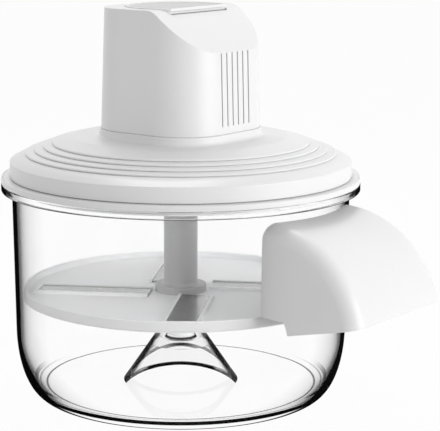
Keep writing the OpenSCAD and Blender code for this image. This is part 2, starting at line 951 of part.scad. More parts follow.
module gearbox_housing() {
    color(dark_grey)
        difference() {
            translate([0, 0, gearbox_z]) cylinder(r = gearbox_r, h = cover_z - gearbox_z);
            translate([0, 0, gearbox_z + gearbox_plate])
                cylinder(r = ring_r - ring_wall / 2, h = cover_z - gearbox_z);
            translate([0, 0, ring_z]) cylinder(r = ring_r + seat_gap, h = ring_h + cut);
            translate([0, 0, gearbox_z - cut]) cylinder(r = bush_out + fit_gap, h = gearbox_plate + 2 * cut);
            on_circle(gearbox_screw_count, gearbox_screw_r, 45)
                translate([0, 0, gearbox_z - cut])
                    cylinder(r = m3[0] + seat_gap, h = cover_z - gearbox_z + 2 * cut);
        }
}

module ring_gear() {
    pitch = gear_m * ring_teeth / 2;
    color(steel)
        translate([0, 0, ring_z])
            difference() {
                cylinder(r = ring_r, h = ring_h);
                translate([0, 0, -cut])
                    rotate(180 / ring_teeth)
                        linear_extrude(ring_h + 2 * cut)
                            polygon(gear_outline(
                                ring_teeth,
                                pitch + dedendum * gear_m,
                                pitch - addendum * gear_m,
                                -backlash
                            ));
            }
}

module gearbox_cover() {
    color(dark_grey)
        translate([0, 0, cover_z])
            difference() {
                cylinder(r = gearbox_r, h = gearbox_plate);
                translate([0, 0, -cut])
                    cylinder(r = bearing_r + boss_wall + seat_gap, h = gearbox_plate + 2 * cut);
                on_circle(gearbox_screw_count, gearbox_screw_r, 45)
                    translate([0, 0, -cut]) cylinder(r = m3[0] + fit_gap, h = gearbox_plate + 2 * cut);
                on_circle(2, arm_r) {
                    translate([0, 0, -cut]) cylinder(r = m2[0] + seat_gap, h = gearbox_plate + 2 * cut);
                    translate([0, 0, -cut]) cylinder(r = m2[1] + seat_gap, h = m2[2] + seat_gap + cut);
                }
            }
}

module gearbox_screws() {
    color(steel)
        on_circle(gearbox_screw_count, gearbox_screw_r, 45)
            translate([0, 0, lid_z]) screw(m3, cover_z + gearbox_plate - lid_z);
}

module output_bush() {
    color(bronze)
        translate([0, 0, gearbox_z])
            difference() {
                union() {
                    cylinder(r = bush_out, h = gearbox_plate);
                    translate([0, 0, gearbox_plate]) cylinder(r = bush_out + 1.5, h = bush_flange);
                }
                translate([0, 0, -cut]) cylinder(r = output_r + fit_gap, h = 2 * gearbox_plate + 2 * cut);
            }
}

module shaft_seal() {
    color(dark_grey)
        translate([0, 0, lid_z])
            ring(seal_r - fit_gap, output_r + fit_gap, lid_plate);
}

module planet_carrier() {
    color(steel)
        translate([0, 0, carrier_z])
            difference() {
                cylinder(r = carrier_r, h = carrier_t);
                translate([0, 0, -cut]) cylinder(r = output_r + fit_gap, h = carrier_t + 2 * cut);
                on_circle(planet_count, arm_r)
                    translate([0, 0, -cut]) cylinder(r = planet_pin_r + fit_gap, h = carrier_t + 2 * cut);
            }
}

module planet_pins() {
    color(steel)
        on_circle(planet_count, arm_r)
            translate([0, 0, carrier_z]) cylinder(r = planet_pin_r, h = planet_z + gear_w - carrier_z);
}

module output_shaft() {
    color(steel) {
        translate([0, 0, lid_z - dog_gap])
            cylinder(r = output_r, h = carrier_z + carrier_t - lid_z + dog_gap);
        translate([0, 0, column_top - dog_len])
            cylinder(r = dog_r, h = lid_z - dog_gap - column_top + dog_len, $fn = 6);
    }
}

module spur_gear(teeth, bore) {
    pitch = gear_m * teeth / 2;
    difference() {
        linear_extrude(gear_w)
            polygon(gear_outline(teeth, pitch + addendum * gear_m, pitch - dedendum * gear_m, backlash));
        translate([0, 0, -cut]) cylinder(r = bore, h = gear_w + 2 * cut);
    }
}

module planet_gear(i) {
    color(mid_grey)
        rotate(360 * (i - 1) / planet_count)
            translate([arm_r, 0, planet_z])
                rotate(180 / planet_teeth)
                    spur_gear(planet_teeth, planet_pin_r + fit_gap);
}

module sun_pinion() {
    color(bronze)
        translate([0, 0, planet_z]) spur_gear(sun_teeth, shaft_r + fit_gap);
}

module motor_can() {
    boss_r = bearing_r + boss_wall;
    color(steel)
        translate([0, 0, motor_z])
            difference() {
                rotate_extrude()
                    polygon([
                        [bearing_r + fit_gap, -boss_drop], [boss_r, -boss_drop], [boss_r, 0],
                        [motor_r, 0], [motor_r, motor_len], [motor_r - can_t, motor_len],
                        [motor_r - can_t, can_floor], [boss_r, can_floor],
                        [boss_r, bearing_len - boss_drop], [bearing_r + fit_gap, bearing_len - boss_drop]
                    ]);
                on_circle(2, arm_r)
                    translate([0, 0, -cut]) cylinder(r = m2[0] + fit_gap, h = can_floor + 2 * cut);
            }
}

module motor_screws() {
    color(steel)
        on_circle(2, arm_r)
            translate([0, 0, cover_z + m2[2]]) screw(m2, gearbox_plate - m2[2] + can_floor);
}

module motor_end_bell() {
    boss_r = bearing_r + boss_wall;
    plug_r = motor_r - can_t - seat_gap;
    holder_in = commutator_r + run_gap;
    pocket_w = brush_w + 2 * seat_gap;
    pocket_h = brush_h + 2 * seat_gap;
    plug_h = 2;
    color(dark_grey)
        translate([0, 0, bell_z])
            difference() {
                union() {
                    cylinder(r = motor_r, h = bell_t);
                    translate([0, 0, -plug_h]) ring(plug_r, plug_r - 2 * can_t, plug_h + cut);
                    cylinder(r = boss_r, h = bell_t + bell_lip);
                    for (s = [0, 180])
                        rotate(s)
                            translate([holder_in, -brush_w / 2 - holder_t, -holder_drop])
                                cube([brush_len, brush_w + 2 * holder_t, holder_drop + cut]);
                }
                translate([0, 0, -cut]) cylinder(r = bearing_r + fit_gap, h = bell_t + bell_lip + 2 * cut);
                for (s = [0, 180])
                    rotate(s)
                        translate([0, -pocket_w / 2, brush_z - bell_z - pocket_h / 2])
                            cube([holder_in + brush_len + cut, pocket_w, pocket_h]);
            }
}

module field_magnets() {
    outer = motor_r - can_t - seat_gap;
    color(dark_grey)
        for (s = [30, 210])
            rotate([0, 0, s])
                rotate_extrude(angle = 120)
                    translate([magnet_in, magnet_z]) square([outer - magnet_in, magnet_h]);
}

module lower_bearing() {
    color(bronze)
        translate([0, 0, motor_z - boss_drop]) ring(bearing_r, shaft_r + fit_gap, bearing_len);
}

module upper_bearing() {
    color(bronze)
        translate([0, 0, bell_z]) ring(bearing_r, shaft_r + fit_gap, bell_t + bell_lip);
}

module carbon_brushes() {
    color(dark_grey)
        for (s = [0, 180])
            rotate(s)
                translate([commutator_r + curve_gap, -brush_w / 2, brush_z - brush_h / 2])
                    cube([brush_len - 1, brush_w, brush_h]);
}

module motor_shaft() {
    color(steel)
        translate([0, 0, planet_z]) cylinder(r = shaft_r, h = fan_z + fan_h - planet_z);
}

module armature() {
    slots = 5;
    slot_w = 4;
    color(steel)
        translate([0, 0, armature_z])
            difference() {
                cylinder(r = armature_r, h = armature_h);
                translate([0, 0, -cut]) cylinder(r = shaft_r + fit_gap, h = armature_h + 2 * cut);
                on_circle(slots, armature_r - 5)
                    translate([0, -slot_w / 2, -cut]) cube([armature_r, slot_w, armature_h + 2 * cut]);
            }
}

module armature_winding() {
    wound_h = 3;
    color(copper)
        for (z = [armature_z - wound_h, armature_z + armature_h])
            translate([0, 0, z]) ring(armature_r - 2.5, shaft_r + 2, wound_h);
}

module commutator() {
    bars = 5;
    color(copper)
        translate([0, 0, commutator_z])
            difference() {
                ring(commutator_r, shaft_r + fit_gap, commutator_h);
                on_circle(bars, commutator_r - 0.6)
                    translate([0, -0.25, -cut]) cube([2, 0.5, commutator_h + 2 * cut]);
            }
}

module cooling_fan() {
    blades = 8;
    hub = shaft_r + 3;
    tilt = 35;
    color(dark_grey)
        translate([0, 0, fan_z])
            difference() {
                union() {
                    cylinder(r = hub, h = fan_h);
                    intersection() {
                        on_circle(blades, 0)
                            translate([hub - 1, 0, fan_h / 2])
                                rotate([tilt, 0, 0])
                                    translate([0, -fan_h, -0.6]) cube([fan_r - hub + 1, 2 * fan_h, 1.2]);
                        cylinder(r = fan_r, h = fan_h);
                    }
                }
                translate([0, 0, -cut]) cylinder(r = shaft_r + fit_gap, h = fan_h + 2 * cut);
            }
}

module control_board() {
    color(board_green)
        translate([-button_back, 0, board_z])
            difference() {
                translate([-board_half_x, -board_half_y, 0])
                    cube([2 * board_half_x, 2 * board_half_y, board_t]);
                at_corners(board_post_x, board_post_y)
                    translate([0, 0, -cut]) cylinder(r = m2[0] + seat_gap, h = board_t + 2 * cut);
            }
}

module board_screws() {
    color(steel)
        translate([-button_back, 0, board_z])
            at_corners(board_post_x, board_post_y) screw(m2, board_t + thread_len - 2);
}

module start_switch() {
    plunger_h = 1.5;
    color(dark_grey)
        translate([-button_back, 0, board_z + board_t]) {
            translate([-switch_w / 2, -switch_w / 2, 0]) cube([switch_w, switch_w, switch_h - plunger_h]);
            cylinder(r = switch_w / 4, h = switch_h);
        }
}

module power_inlet() {
    face = -head_half_d + head_draft * (inlet_z - inlet_flange_r - head_z) / head_h;
    color(dark_grey)
        translate([face, 0, inlet_z])
            rotate([0, 90, 0])
                difference() {
                    union() {
                        translate([0, 0, -inlet_flange_t]) cylinder(r = inlet_flange_r, h = inlet_flange_t);
                        translate([0, 0, -cut]) cylinder(r = inlet_r, h = inlet_len + cut);
                    }
                    translate([0, 0, -inlet_flange_t - cut])
                        cylinder(r = inlet_bore, h = inlet_depth + inlet_flange_t + cut);
                }
}

bowl();
pedestal();
pivot_pin();
chute_hood();
peeling_disc();
hub_bush();
drive_column();
column_screws();
peeling_strip(1);  // peeling_strip_1
peeling_strip(2);  // peeling_strip_2
peeling_strip(3);  // peeling_strip_3
peeling_strip(4);  // peeling_strip_4
lid_base();
lid_seal();
lid_cover();
lid_screws();
motor_housing();
housing_screws();
push_button();
button_spring();
gearbox_housing();
ring_gear();
gearbox_cover();
gearbox_screws();
output_bush();
shaft_seal();
planet_carrier();
planet_pins();
output_shaft();
planet_gear(1);  // planet_gear_1
planet_gear(2);  // planet_gear_2
planet_gear(3);  // planet_gear_3
motor_can();
motor_screws();
motor_end_bell();
field_magnets();
lower_bearing();
upper_bearing();
carbon_brushes();
motor_shaft();
sun_pinion();
armature();
armature_winding();
commutator();
cooling_fan();
control_board();
board_screws();
start_switch();
power_inlet();
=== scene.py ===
import math

import bpy
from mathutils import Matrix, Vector


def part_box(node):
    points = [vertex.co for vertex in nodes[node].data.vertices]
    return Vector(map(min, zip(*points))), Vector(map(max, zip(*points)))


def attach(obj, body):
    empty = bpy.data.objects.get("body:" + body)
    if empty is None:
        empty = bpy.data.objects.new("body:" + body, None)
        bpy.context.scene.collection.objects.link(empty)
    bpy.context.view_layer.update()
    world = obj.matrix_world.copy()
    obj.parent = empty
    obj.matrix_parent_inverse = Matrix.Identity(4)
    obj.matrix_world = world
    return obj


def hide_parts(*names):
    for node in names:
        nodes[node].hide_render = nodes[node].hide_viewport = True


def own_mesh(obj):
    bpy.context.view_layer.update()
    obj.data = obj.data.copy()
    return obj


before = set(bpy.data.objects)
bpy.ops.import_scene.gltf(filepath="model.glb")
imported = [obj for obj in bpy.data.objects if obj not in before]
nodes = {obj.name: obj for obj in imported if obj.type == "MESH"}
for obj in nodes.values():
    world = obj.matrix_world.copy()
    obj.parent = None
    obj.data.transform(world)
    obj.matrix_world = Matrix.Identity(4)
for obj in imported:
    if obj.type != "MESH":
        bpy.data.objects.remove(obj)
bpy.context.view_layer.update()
mm = 0.001                                      # sizes below are in millimetres
closeBy = 1e-6                                  # metres, for what counts as one place
viewTurn = 38.4                                 # degrees to the photograph's side, which the arch and a strip face
print("frame loaded with", len(nodes), "nodes")

# Shader maths


class Field:                                    # a socket, or a whole tree before it has one
    def __init__(self, tree, socket=None):
        self.tree = tree
        self.socket = socket

    def add(self, kind, settings=None, inputs=None, output=0):
        node = self.tree.nodes.new("ShaderNode" + kind)
        for key, value in (settings or {}).items():
            if key == "stops":
                ramp = node.color_ramp.elements
                while len(ramp) < len(value):
                    ramp.new(1)
                for element, (place, tone) in zip(ramp, value):
                    element.position = place
                    element.color = tone
            else:
                setattr(node, key, value)
        for key, value in (inputs or {}).items():
            if isinstance(value, Field):
                self.tree.links.new(value.socket, node.inputs[key])
            else:
                node.inputs[key].default_value = value
        return Field(self.tree, node.outputs[output] if len(node.outputs) else None)

    def combine(self, operation, first, second=0.0):
        return self.add("Math", {"operation": operation}, {0: first, 1: second})

    def __add__(self, other):
        return self.combine("ADD", self, other)

    def __radd__(self, other):
        return self.combine("ADD", other, self)

    def __sub__(self, other):
        return self.combine("SUBTRACT", self, other)

    def __rsub__(self, other):
        return self.combine("SUBTRACT", other, self)

    def __mul__(self, other):
        return self.combine("MULTIPLY", self, other)

    def __rmul__(self, other):
        return self.combine("MULTIPLY", other, self)

    def __abs__(self):
        return self.combine("ABSOLUTE", self)

    def atLeast(self, other):                   # the larger of the two
        return self.combine("MAXIMUM", self, other)

    def spread(self, low, high):                # smooth step from 0 at low to 1 at high
        return self.add("MapRange", {"interpolation_type": "SMOOTHSTEP"},
                        {"Value": self, "From Min": low, "From Max": high})


def grey(level, tint=(1.0, 1.0, 1.0)):
    return tuple(level * t for t in tint) + (1.0,)


def newFinish(name):
    material = bpy.data.materials.new(name)
    material.use_nodes = True
    material.node_tree.nodes.clear()
    return material, Field(material.node_tree)


def showSurface(start, shader):
    start.add("OutputMaterial", {}, {"Surface": shader})


def mixColours(factor, first, second):
    return factor.add("Mix", {"data_type": "RGBA"}, {0: factor, 6: first, 7: second}, 2)


def placeOf(start):                             # the place on the object
    return start.add("TexCoord", {}, {}, "Object")


def noiseOf(start, place, scale, detail=2.0, roughness=0.5):
    return start.add("TexNoise", {}, {"Vector": place, "Scale": scale, "Detail": detail, "Roughness": roughness})


toneSpread = (0.3, 0.7)                         # the part of a noise that goes from the shade to the tone
plasticLook = {"cloudScale": 18.0, "cloudDetail": 3.0, "cloudSheen": 0.10, "grainSheen": 0.06, "bump": 0.25}
metalLook = {"streak": (1.0, 1.0, 40.0), "lineScale": 220.0, "lineDetail": 4.0, "lineRough": 0.6, "lineSheen": 0.16,
             "cloudScale": 60.0, "cloudSheen": 0.08, "bump": 0.2, "bumpDeep": 0.01}


# Moulded plastic: a fine spark-eroded grain, a slow change of tone and a patchy sheen
def mouldedPlastic(name, tone, shade, roughness, grainSize=0.5, grainDeep=0.012):
    k = plasticLook
    material, start = newFinish(name)
    place = placeOf(start)
    cloud = noiseOf(start, place, k["cloudScale"], k["cloudDetail"])
    grain = noiseOf(start, place, 1 / (grainSize * mm))
    colour = mixColours(cloud.spread(*toneSpread), shade, tone)
    sheen = roughness + k["cloudSheen"] * (cloud - 0.5) + k["grainSheen"] * (grain - 0.5)
    bump = start.add("Bump", {}, {"Strength": k["bump"], "Distance": grainDeep * mm, "Height": grain})
    showSurface(start, start.add("BsdfPrincipled", {}, {"Base Color": colour, "Roughness": sheen, "Normal": bump}))
    return material


# Metal drawn or turned: streaks that run along one axis
def workedMetal(name, tone, shade, roughness):
    k = metalLook
    material, start = newFinish(name)
    place = placeOf(start)
    stretched = start.add("Mapping", {}, {"Vector": place, "Scale": k["streak"]})
    lines = noiseOf(start, stretched, k["lineScale"], k["lineDetail"], k["lineRough"])
    cloud = noiseOf(start, place, k["cloudScale"])
    colour = mixColours(lines.spread(*toneSpread), shade, tone)
    sheen = roughness + k["lineSheen"] * (lines - 0.5) + k["cloudSheen"] * (cloud - 0.5)
    bump = start.add("Bump", {}, {"Strength": k["bump"], "Distance": k["bumpDeep"] * mm, "Height": lines})
    showSurface(start, start.add("BsdfPrincipled", {}, {
        "Base Color": colour, "Roughness": sheen, "Normal": bump, "Metallic": 1.0}))
    return material


clearLook = {
    # the cone's greyer tones are painted shade for the grey inside its walls
    "ior": 1.12, "coneIor": 1.01, "tones": (0.985, 0.995), "coneShadeTones": (0.86, 0.9),
    "lampShare": 0.97, "plainShare": 0.99,      # light let through for lamps, and where the wall is plain
    "hazeScale": 35.0, "hazeDetail": 3.0, "hazeTone": (0.35, 0.65), "hazeRough": 0.012, "roughSpread": (0.45, 0.75),
    "paintedDarkTone": 0.004, "edgeRough": 0.3, "level": (0.5, 0.8), "lineSoft": (0.5, 1.5),
    "edgeOn": ((0.43, 0.0), (0.51, 0.07), (0.587, 0.17), (0.649, 0.31), (0.69, 0.5), (0.728, 0.76), (0.773, 0.89),
               (0.786, 1.0)),                   # how far edge on, and how dark the painted shade is
    # coneEdge: how far edge on, and how dark the painted shade on the cone is
    "coneEdge": ((0.47, 0.0), (0.54, 0.25), (0.6, 1.0), (0.76, 1.0), (0.84, 0.82), (1.0, 0.75)),
    "bandLow": 4.7, "bandHigh": 7.0, "bandSoft": 0.4, "bandFacing": (0.34, 0.5), "footTop": 4.5,
    "baseFacing": (0.7, 0.8), "corner": (12.0, 36.0), "cornerMore": 0.1,
    "rimPaintedLine": (118.3, 100.4, 0.85), "rimSoft": (0.1, 0.2),     # height, radius and share
    "floorPaintedLines": ((77.3, 0.6, 0.8), (81.4, 0.4, 0.6)), "floorFade": (9.0, 11.0), "outerFacing": (0.4, 0.75),
    "cupPaintedLines": ((8.6, 0.6, 0.95), (12.4, 0.3, 0.8)), "cupFade": (29.6, 30.2),  # painted lines: radius, half width and share
    "archRing": 40.7, "archDrop": 20.5, "archPaintedLine": (1.4, 2.0), "archFacing": (0.3, 0.38), "archFade": 0.35}


# Clear polished plastic: lamps shine through it, and a near-black shader is mixed in as painted shade where its wall
# is seen edge on and along painted lines
def clearPlastic(name, paintedDark=None, ior=clearLook["ior"], plain=None, tones=clearLook["tones"]):
    k = clearLook
    material, start = newFinish(name)
    place = placeOf(start)
    haze = noiseOf(start, place, k["hazeScale"], k["hazeDetail"])
    clear = start.add("BsdfPrincipled", {}, {
        "Base Color": mixColours(haze.spread(*k["hazeTone"]), *(grey(tone) for tone in tones)),
        "Roughness": k["hazeRough"] * haze.spread(*k["roughSpread"]), "Transmission Weight": 1.0, "IOR": ior})
    if plain:                                   # where the wall shows what is behind it without bending it
        straight = start.add("BsdfTransparent", {}, {"Color": grey(k["plainShare"])})
        clear = start.add("MixShader", {}, {0: plain(start, place), 1: clear, 2: straight})
    # painted shade: a near-black shader mixed in where the given mask says
    if paintedDark:
        edge = start.add("BsdfPrincipled", {}, {
            "Base Color": grey(k["paintedDarkTone"]), "Roughness": k["edgeRough"], "Specular IOR Level": 0.0})
        clear = start.add("MixShader", {}, {0: paintedDark(start, place), 1: clear, 2: edge})
    lampRay = start.add("LightPath", {}, {}, "Is Shadow Ray")
    passing = start.add("BsdfTransparent", {}, {"Color": grey(k["lampShare"])})
    showSurface(start, start.add("MixShader", {}, {0: lampRay, 1: clear, 2: passing}))
    return material


def facingOf(start):                            # 0 seen square on, 1 seen edge on
    return start.add("LayerWeight", {}, {"Blend": 0.5}, "Facing")


def edgeOn(start, steps, more=0.0):             # how dark the painted shade on a clear wall is, by how far it is seen edge on
    return start.add("ValToRGB", {"stops": [(place, grey(level)) for place, level in steps]},
                     {"Fac": facingOf(start) + more})


def levelOf(start):                             # 1 on faces that lie level
    normal = start.add("NewGeometry", {}, {}, "Normal")
    return abs(start.add("SeparateXYZ", {}, {"Vector": normal}, "Z")).spread(*clearLook["level"])


def heightOf(start, place):                     # in millimetres, as the lengths below
    return start.add("SeparateXYZ", {}, {"Vector": place}, "Z") * (1 / mm)


def lengthOf(start, place, axes):
    scaled = start.add("VectorMath", {"operation": "MULTIPLY"}, {0: place, 1: [axis / mm for axis in axes]})
    return start.add("VectorMath", {"operation": "LENGTH"}, {0: scaled}, "Value")


def radiusOf(start, place):
    return lengthOf(start, place, (1, 1, 0))


def ringLine(radius, line):                     # a painted dark line round the axis
    middle, half, share = line
    return (1 - abs(radius - middle).spread(*(half * soft for soft in clearLook["lineSoft"]))) * share


def footOf(start, place):                       # the lowest part of the corner
    k = clearLook
    return 1 - heightOf(start, place).spread(k["footTop"] - k["bandSoft"], k["footTop"])


def wallPaintedDark(start, place):                 # painted shade: outer wall and corner darkened where seen edge on, with a painted dark band above the base
    k = clearLook
    height = heightOf(start, place)
    corner = (1 - height.spread(*k["corner"])) * k["cornerMore"]
    edge = edgeOn(start, k["edgeOn"], corner) * (1 - footOf(start, place))
    above = height.spread(k["bandLow"] - k["bandSoft"], k["bandLow"])
    below = 1 - height.spread(k["bandHigh"], k["bandHigh"] + k["bandSoft"])
    band = above * below * facingOf(start).spread(*k["bandFacing"])
    return edge.atLeast(band).atLeast(facingOf(start).spread(*k["baseFacing"]))


def insidePaintedDark(start, place):               # painted dark lines round the floor, where the corner bends the view
    k = clearLook
    low = 1 - heightOf(start, place).spread(*k["floorFade"])
    radius = radiusOf(start, place)
    inner, outer = (ringLine(radius, line) * low for line in k["floorPaintedLines"])
    return inner.atLeast(outer * facingOf(start).spread(*k["outerFacing"]))


def rimPaintedDark(start, place):                  # painted shade on the upright face of the rim, and a painted dark line along its lower edge
    k = clearLook
    top, out, share = k["rimPaintedLine"]
    softUp, softOut = k["rimSoft"]
    below = 1 - heightOf(start, place).spread(top - softUp, top + softUp)
    line = below * radiusOf(start, place).spread(out - softOut, out) * share
    return (edgeOn(start, k["edgeOn"]) * (1 - levelOf(start))).atLeast(line)


def conePaintedDark(start, place):                 # painted shade on both faces of the wall edge on, and painted dark lines at the edge of the arch and round the cup
    k = clearLook
    alongArch = start.add("Mapping", {}, {"Vector": place, "Rotation": (0, 0, -math.radians(viewTurn)),
                                          "Location": (0, 0, k["archDrop"] * mm)})
    away = lengthOf(start, alongArch, (1, 0, 1)) - k["archRing"]
    arch = (1 - away.spread(*k["archPaintedLine"])) * (1 - facingOf(start).spread(*k["archFacing"]) * k["archFade"])
    radius = radiusOf(start, place)
    boss, cup = (ringLine(radius, line) for line in k["cupPaintedLines"])
    top = boss.atLeast(cup) * heightOf(start, place).spread(*k["cupFade"])
    wall = edgeOn(start, k["coneEdge"]) * (1 - levelOf(start))
    return wall.atLeast(arch).atLeast(top)


finishes = {
    "white": mouldedPlastic("whitePlastic", grey(0.86), grey(0.84), 0.33),
    "lightGrey": mouldedPlastic("lightGreyPlastic", grey(0.92, (0.99, 1.0, 1.01)), grey(0.89), 0.4),
    "panelGrey": mouldedPlastic("panelGreyPlastic", grey(0.66), grey(0.63), 0.5, 0.7, 0.03),
    "discSideShade": mouldedPlastic("discSidePaintedShade", grey(0.66), grey(0.63), 0.45),
    "midGrey": mouldedPlastic("columnGreyPlastic", grey(0.50), grey(0.46), 0.4),
    "black": mouldedPlastic("blackPlastic", grey(0.030), grey(0.022), 0.5),
    "nylon": mouldedPlastic("gearNylon", grey(0.60, (1.0, 0.98, 0.92)), grey(0.55, (1.0, 0.98, 0.92)), 0.45),
    "silicone": mouldedPlastic("sealSilicone", grey(0.72, (1.0, 1.0, 0.98)), grey(0.66), 0.55),
    "rubber": mouldedPlastic("sealRubber", grey(0.022), grey(0.016), 0.7),
    "board": mouldedPlastic("boardMask", grey(0.15, (0.2, 1.0, 0.5)), grey(0.12, (0.2, 1.0, 0.5)), 0.4),
    "carbon": mouldedPlastic("pressedCarbon", grey(0.030), grey(0.02), 0.65),
    "magnet": mouldedPlastic("groundFerrite", grey(0.07), grey(0.055), 0.5),
    "strip": workedMetal("stripSteel", grey(0.42), grey(0.34), 0.24),
    "steel": workedMetal("brightSteel", grey(0.58), grey(0.48), 0.3),
    "bronze": workedMetal("sinteredBronze", grey(0.60, (1.0, 0.70, 0.36)), grey(0.48, (1.0, 0.70, 0.36)), 0.4),
    "copper": workedMetal("woundCopper", grey(0.72, (1.0, 0.50, 0.28)), grey(0.55, (1.0, 0.50, 0.28)), 0.3),
    "clearCore": clearPlastic("clearCore", None, clearLook["coneIor"]),
    "clearWallPaintedDark": clearPlastic("clearWallPaintedDark", wallPaintedDark, plain=footOf),
    "clearInsidePaintedLines": clearPlastic("clearInsidePaintedLines", insidePaintedDark),
    "clearRimPaintedDark": clearPlastic("clearRimPaintedDark", rimPaintedDark),
    "clearConePaintedDark": clearPlastic("clearConePaintedDark", conePaintedDark, clearLook["coneIor"], tones=clearLook["coneShadeTones"]),
}
print("finishes made:", len(finishes))

# Ways of working

fromAbove, fromSide, fromFront = ((1, 0, 0), (0, 1, 0)), ((1, 0, 0), (0, 0, 1)), ((0, 1, 0), (0, 0, 1))


def deselectAll():
    if bpy.context.object and bpy.context.object.mode != "OBJECT":
        bpy.ops.object.mode_set(mode="OBJECT")
    bpy.ops.object.select_all(action="DESELECT")


def pick(piece):                                # the only one selected, and active
    deselectAll()
    piece.select_set(True)
    bpy.context.view_layer.objects.active = piece


def editAll(piece):
    pick(piece)
    bpy.ops.object.mode_set(mode="EDIT")
    bpy.ops.mesh.select_mode(type="VERT")
    bpy.ops.mesh.select_all(action="SELECT")


def named(name):
    piece = bpy.context.object
    piece.name = name
    piece.data.name = name
    return piece


def useModifier(piece, kind, **settings):
    pick(piece)
    modifier = piece.modifiers.new(kind, kind)
    for key, value in settings.items():
        setattr(modifier, key, value)
    bpy.ops.object.modifier_apply(modifier=modifier.name)


def carve(piece, tool, operation="DIFFERENCE"):
    useModifier(piece, "BOOLEAN", object=tool, operation=operation, solver="EXACT")
    bpy.data.objects.remove(tool)


def copyOf(piece, name):
    pick(piece)
    bpy.ops.object.duplicate(linked=False)
    return named(name)


def roundEdges(piece, width, segments=3, angle=35):
    useModifier(piece, "BEVEL", width=width * mm, segments=segments, limit_method="ANGLE",
                angle_limit=math.radians(angle), harden_normals=False)


def closeUp(piece):                             # merge doubles, then turn the faces outwards
    editAll(piece)
    bpy.ops.mesh.remove_doubles(threshold=closeBy)
    bpy.ops.mesh.normals_make_consistent(inside=False)
    bpy.ops.object.mode_set(mode="OBJECT")
    return piece


def arcPoints(centre, radii, first, last, steps):   # an arc of a circle or an oval, in degrees
    turnBy = [math.radians(first + (last - first) * i / steps) for i in range(steps + 1)]
    return [(centre[0] + radii[0] * math.cos(a), centre[1] + radii[1] * math.sin(a)) for a in turnBy]


def softened(corners, steps=5):                 # corners with an optional rounding as third value
    points = []
    for i, corner in enumerate(corners):
        here = Vector(corner[:2])
        size = corner[2] if len(corner) > 2 else 0
        if not size or i in (0, len(corners) - 1):
            points.append(tuple(here))
            continue
        back = (Vector(corners[i - 1][:2]) - here).normalized()
        ahead = (Vector(corners[i + 1][:2]) - here).normalized()
        half = back.angle(ahead) / 2
        middle = here + (back + ahead).normalized() * size / math.sin(half)
        start = here + back * size / math.tan(half) - middle
        end = here + ahead * size / math.tan(half) - middle
        sweep = start.angle_signed(end)
        for k in range(steps + 1):
            a = -sweep * k / steps
            points.append((middle.x + start.x * math.cos(a) - start.y * math.sin(a),
                           middle.y + start.x * math.sin(a) + start.y * math.cos(a)))
    return points


def drawLine(name, places):                     # a plane merged to one point and extruded along
    deselectAll()
    bpy.ops.mesh.primitive_plane_add(size=mm)
    line = named(name)
    editAll(line)
    bpy.ops.mesh.merge(type="CENTER")
    bpy.ops.transform.translate(value=places[0])
    for before, after in zip(places, places[1:]):
        bpy.ops.mesh.extrude_region_move(TRANSFORM_OT_translate={"value": after - before})
    bpy.ops.mesh.select_all(action="SELECT")
    return line


def held(outline, near=0.3, longest=2.5):       # points close to the ends of long stretches keep the shading flat
    points = [outline[0]]
    for before, after in zip(outline, outline[1:]):
        first, last = Vector(before), Vector(after)
        reach = (last - first).length
        if reach > longest:
            points += [tuple(first.lerp(last, near / reach)), tuple(last.lerp(first, near / reach))]
        points.append(after)
    return points


def turned(name, outline, steps):               # a section of radius and height, spun round the axis
    piece = drawLine(name, [Vector((r * mm, 0, z * mm)) for r, z in held(outline)])
    bpy.ops.mesh.spin(steps=steps, angle=2 * math.pi, center=(0, 0, 0), axis=(0, 0, 1))
    return closeUp(piece)


def drawn(name, outline, axes, middle, depth):  # a flat outline, filled and extruded both ways from the middle
    across, up = (Vector(a) for a in axes)
    out = across.cross(up)
    places = [Vector(middle) * mm + (across * u + up * v) * mm - out * depth / 2 * mm for u, v in outline]
    piece = drawLine(name, places)
    bpy.ops.mesh.edge_face_add()
    bpy.ops.mesh.extrude_region_move(TRANSFORM_OT_translate={"value": out * depth * mm})
    return closeUp(piece)


def cylinder(name, radius, depth, middle, rotation=(0, 0, 0), sides=48):
    deselectAll()
    bpy.ops.mesh.primitive_cylinder_add(vertices=sides, radius=radius * mm, depth=depth * mm,
                                        location=[m * mm for m in middle], rotation=rotation)
    return named(name)


def roundedPad(name, half, corner, height, segments=12):    # a plane with rounded corners
    deselectAll()
    bpy.ops.mesh.primitive_plane_add(size=2, location=(0, 0, 0))
    pad = named(name)
    editAll(pad)
    bpy.ops.transform.resize(value=(half[0] * mm, half[1] * mm, 1))
    bpy.ops.mesh.bevel(offset=corner * mm, segments=segments, affect="VERTICES")
    bpy.ops.mesh.select_all(action="SELECT")
    bpy.ops.transform.translate(value=(0, 0, height * mm))
    return pad


def raisePad(half, ends):                       # extrude the pad through (growth, height) pairs
    last = ends[0]
    for growth, height in ends[1:]:
        bpy.ops.mesh.extrude_region_move(TRANSFORM_OT_translate={"value": (0, 0, (height - last[1]) * mm)})
        scale = [(h + growth) / (h + last[0]) for h in half]
        bpy.ops.transform.resize(value=(scale[0], scale[1], 1), center_override=(0, 0, height * mm))
        last = (growth, height)


def raisedPad(name, half, corner, ends):        # a block whose pad is at the first pair
    growth, height = ends[0]
    pad = roundedPad(name, [h + growth for h in half], corner + growth, height)
    raisePad(half, ends)
    return closeUp(pad)


def finish(piece, body, replaced, material, smooth=32):
    pick(piece)
    bpy.ops.object.shade_smooth_by_angle(angle=math.radians(smooth))
    useModifier(piece, "WEIGHTED_NORMAL", mode="FACE_AREA", weight=50, keep_sharp=True)
    piece.data.materials.clear()
    piece.data.materials.append(finishes[material])
    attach(piece, body)
    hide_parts(*replaced)
    print("piece:", piece.name, len(piece.data.polygons), "faces")
    return piece


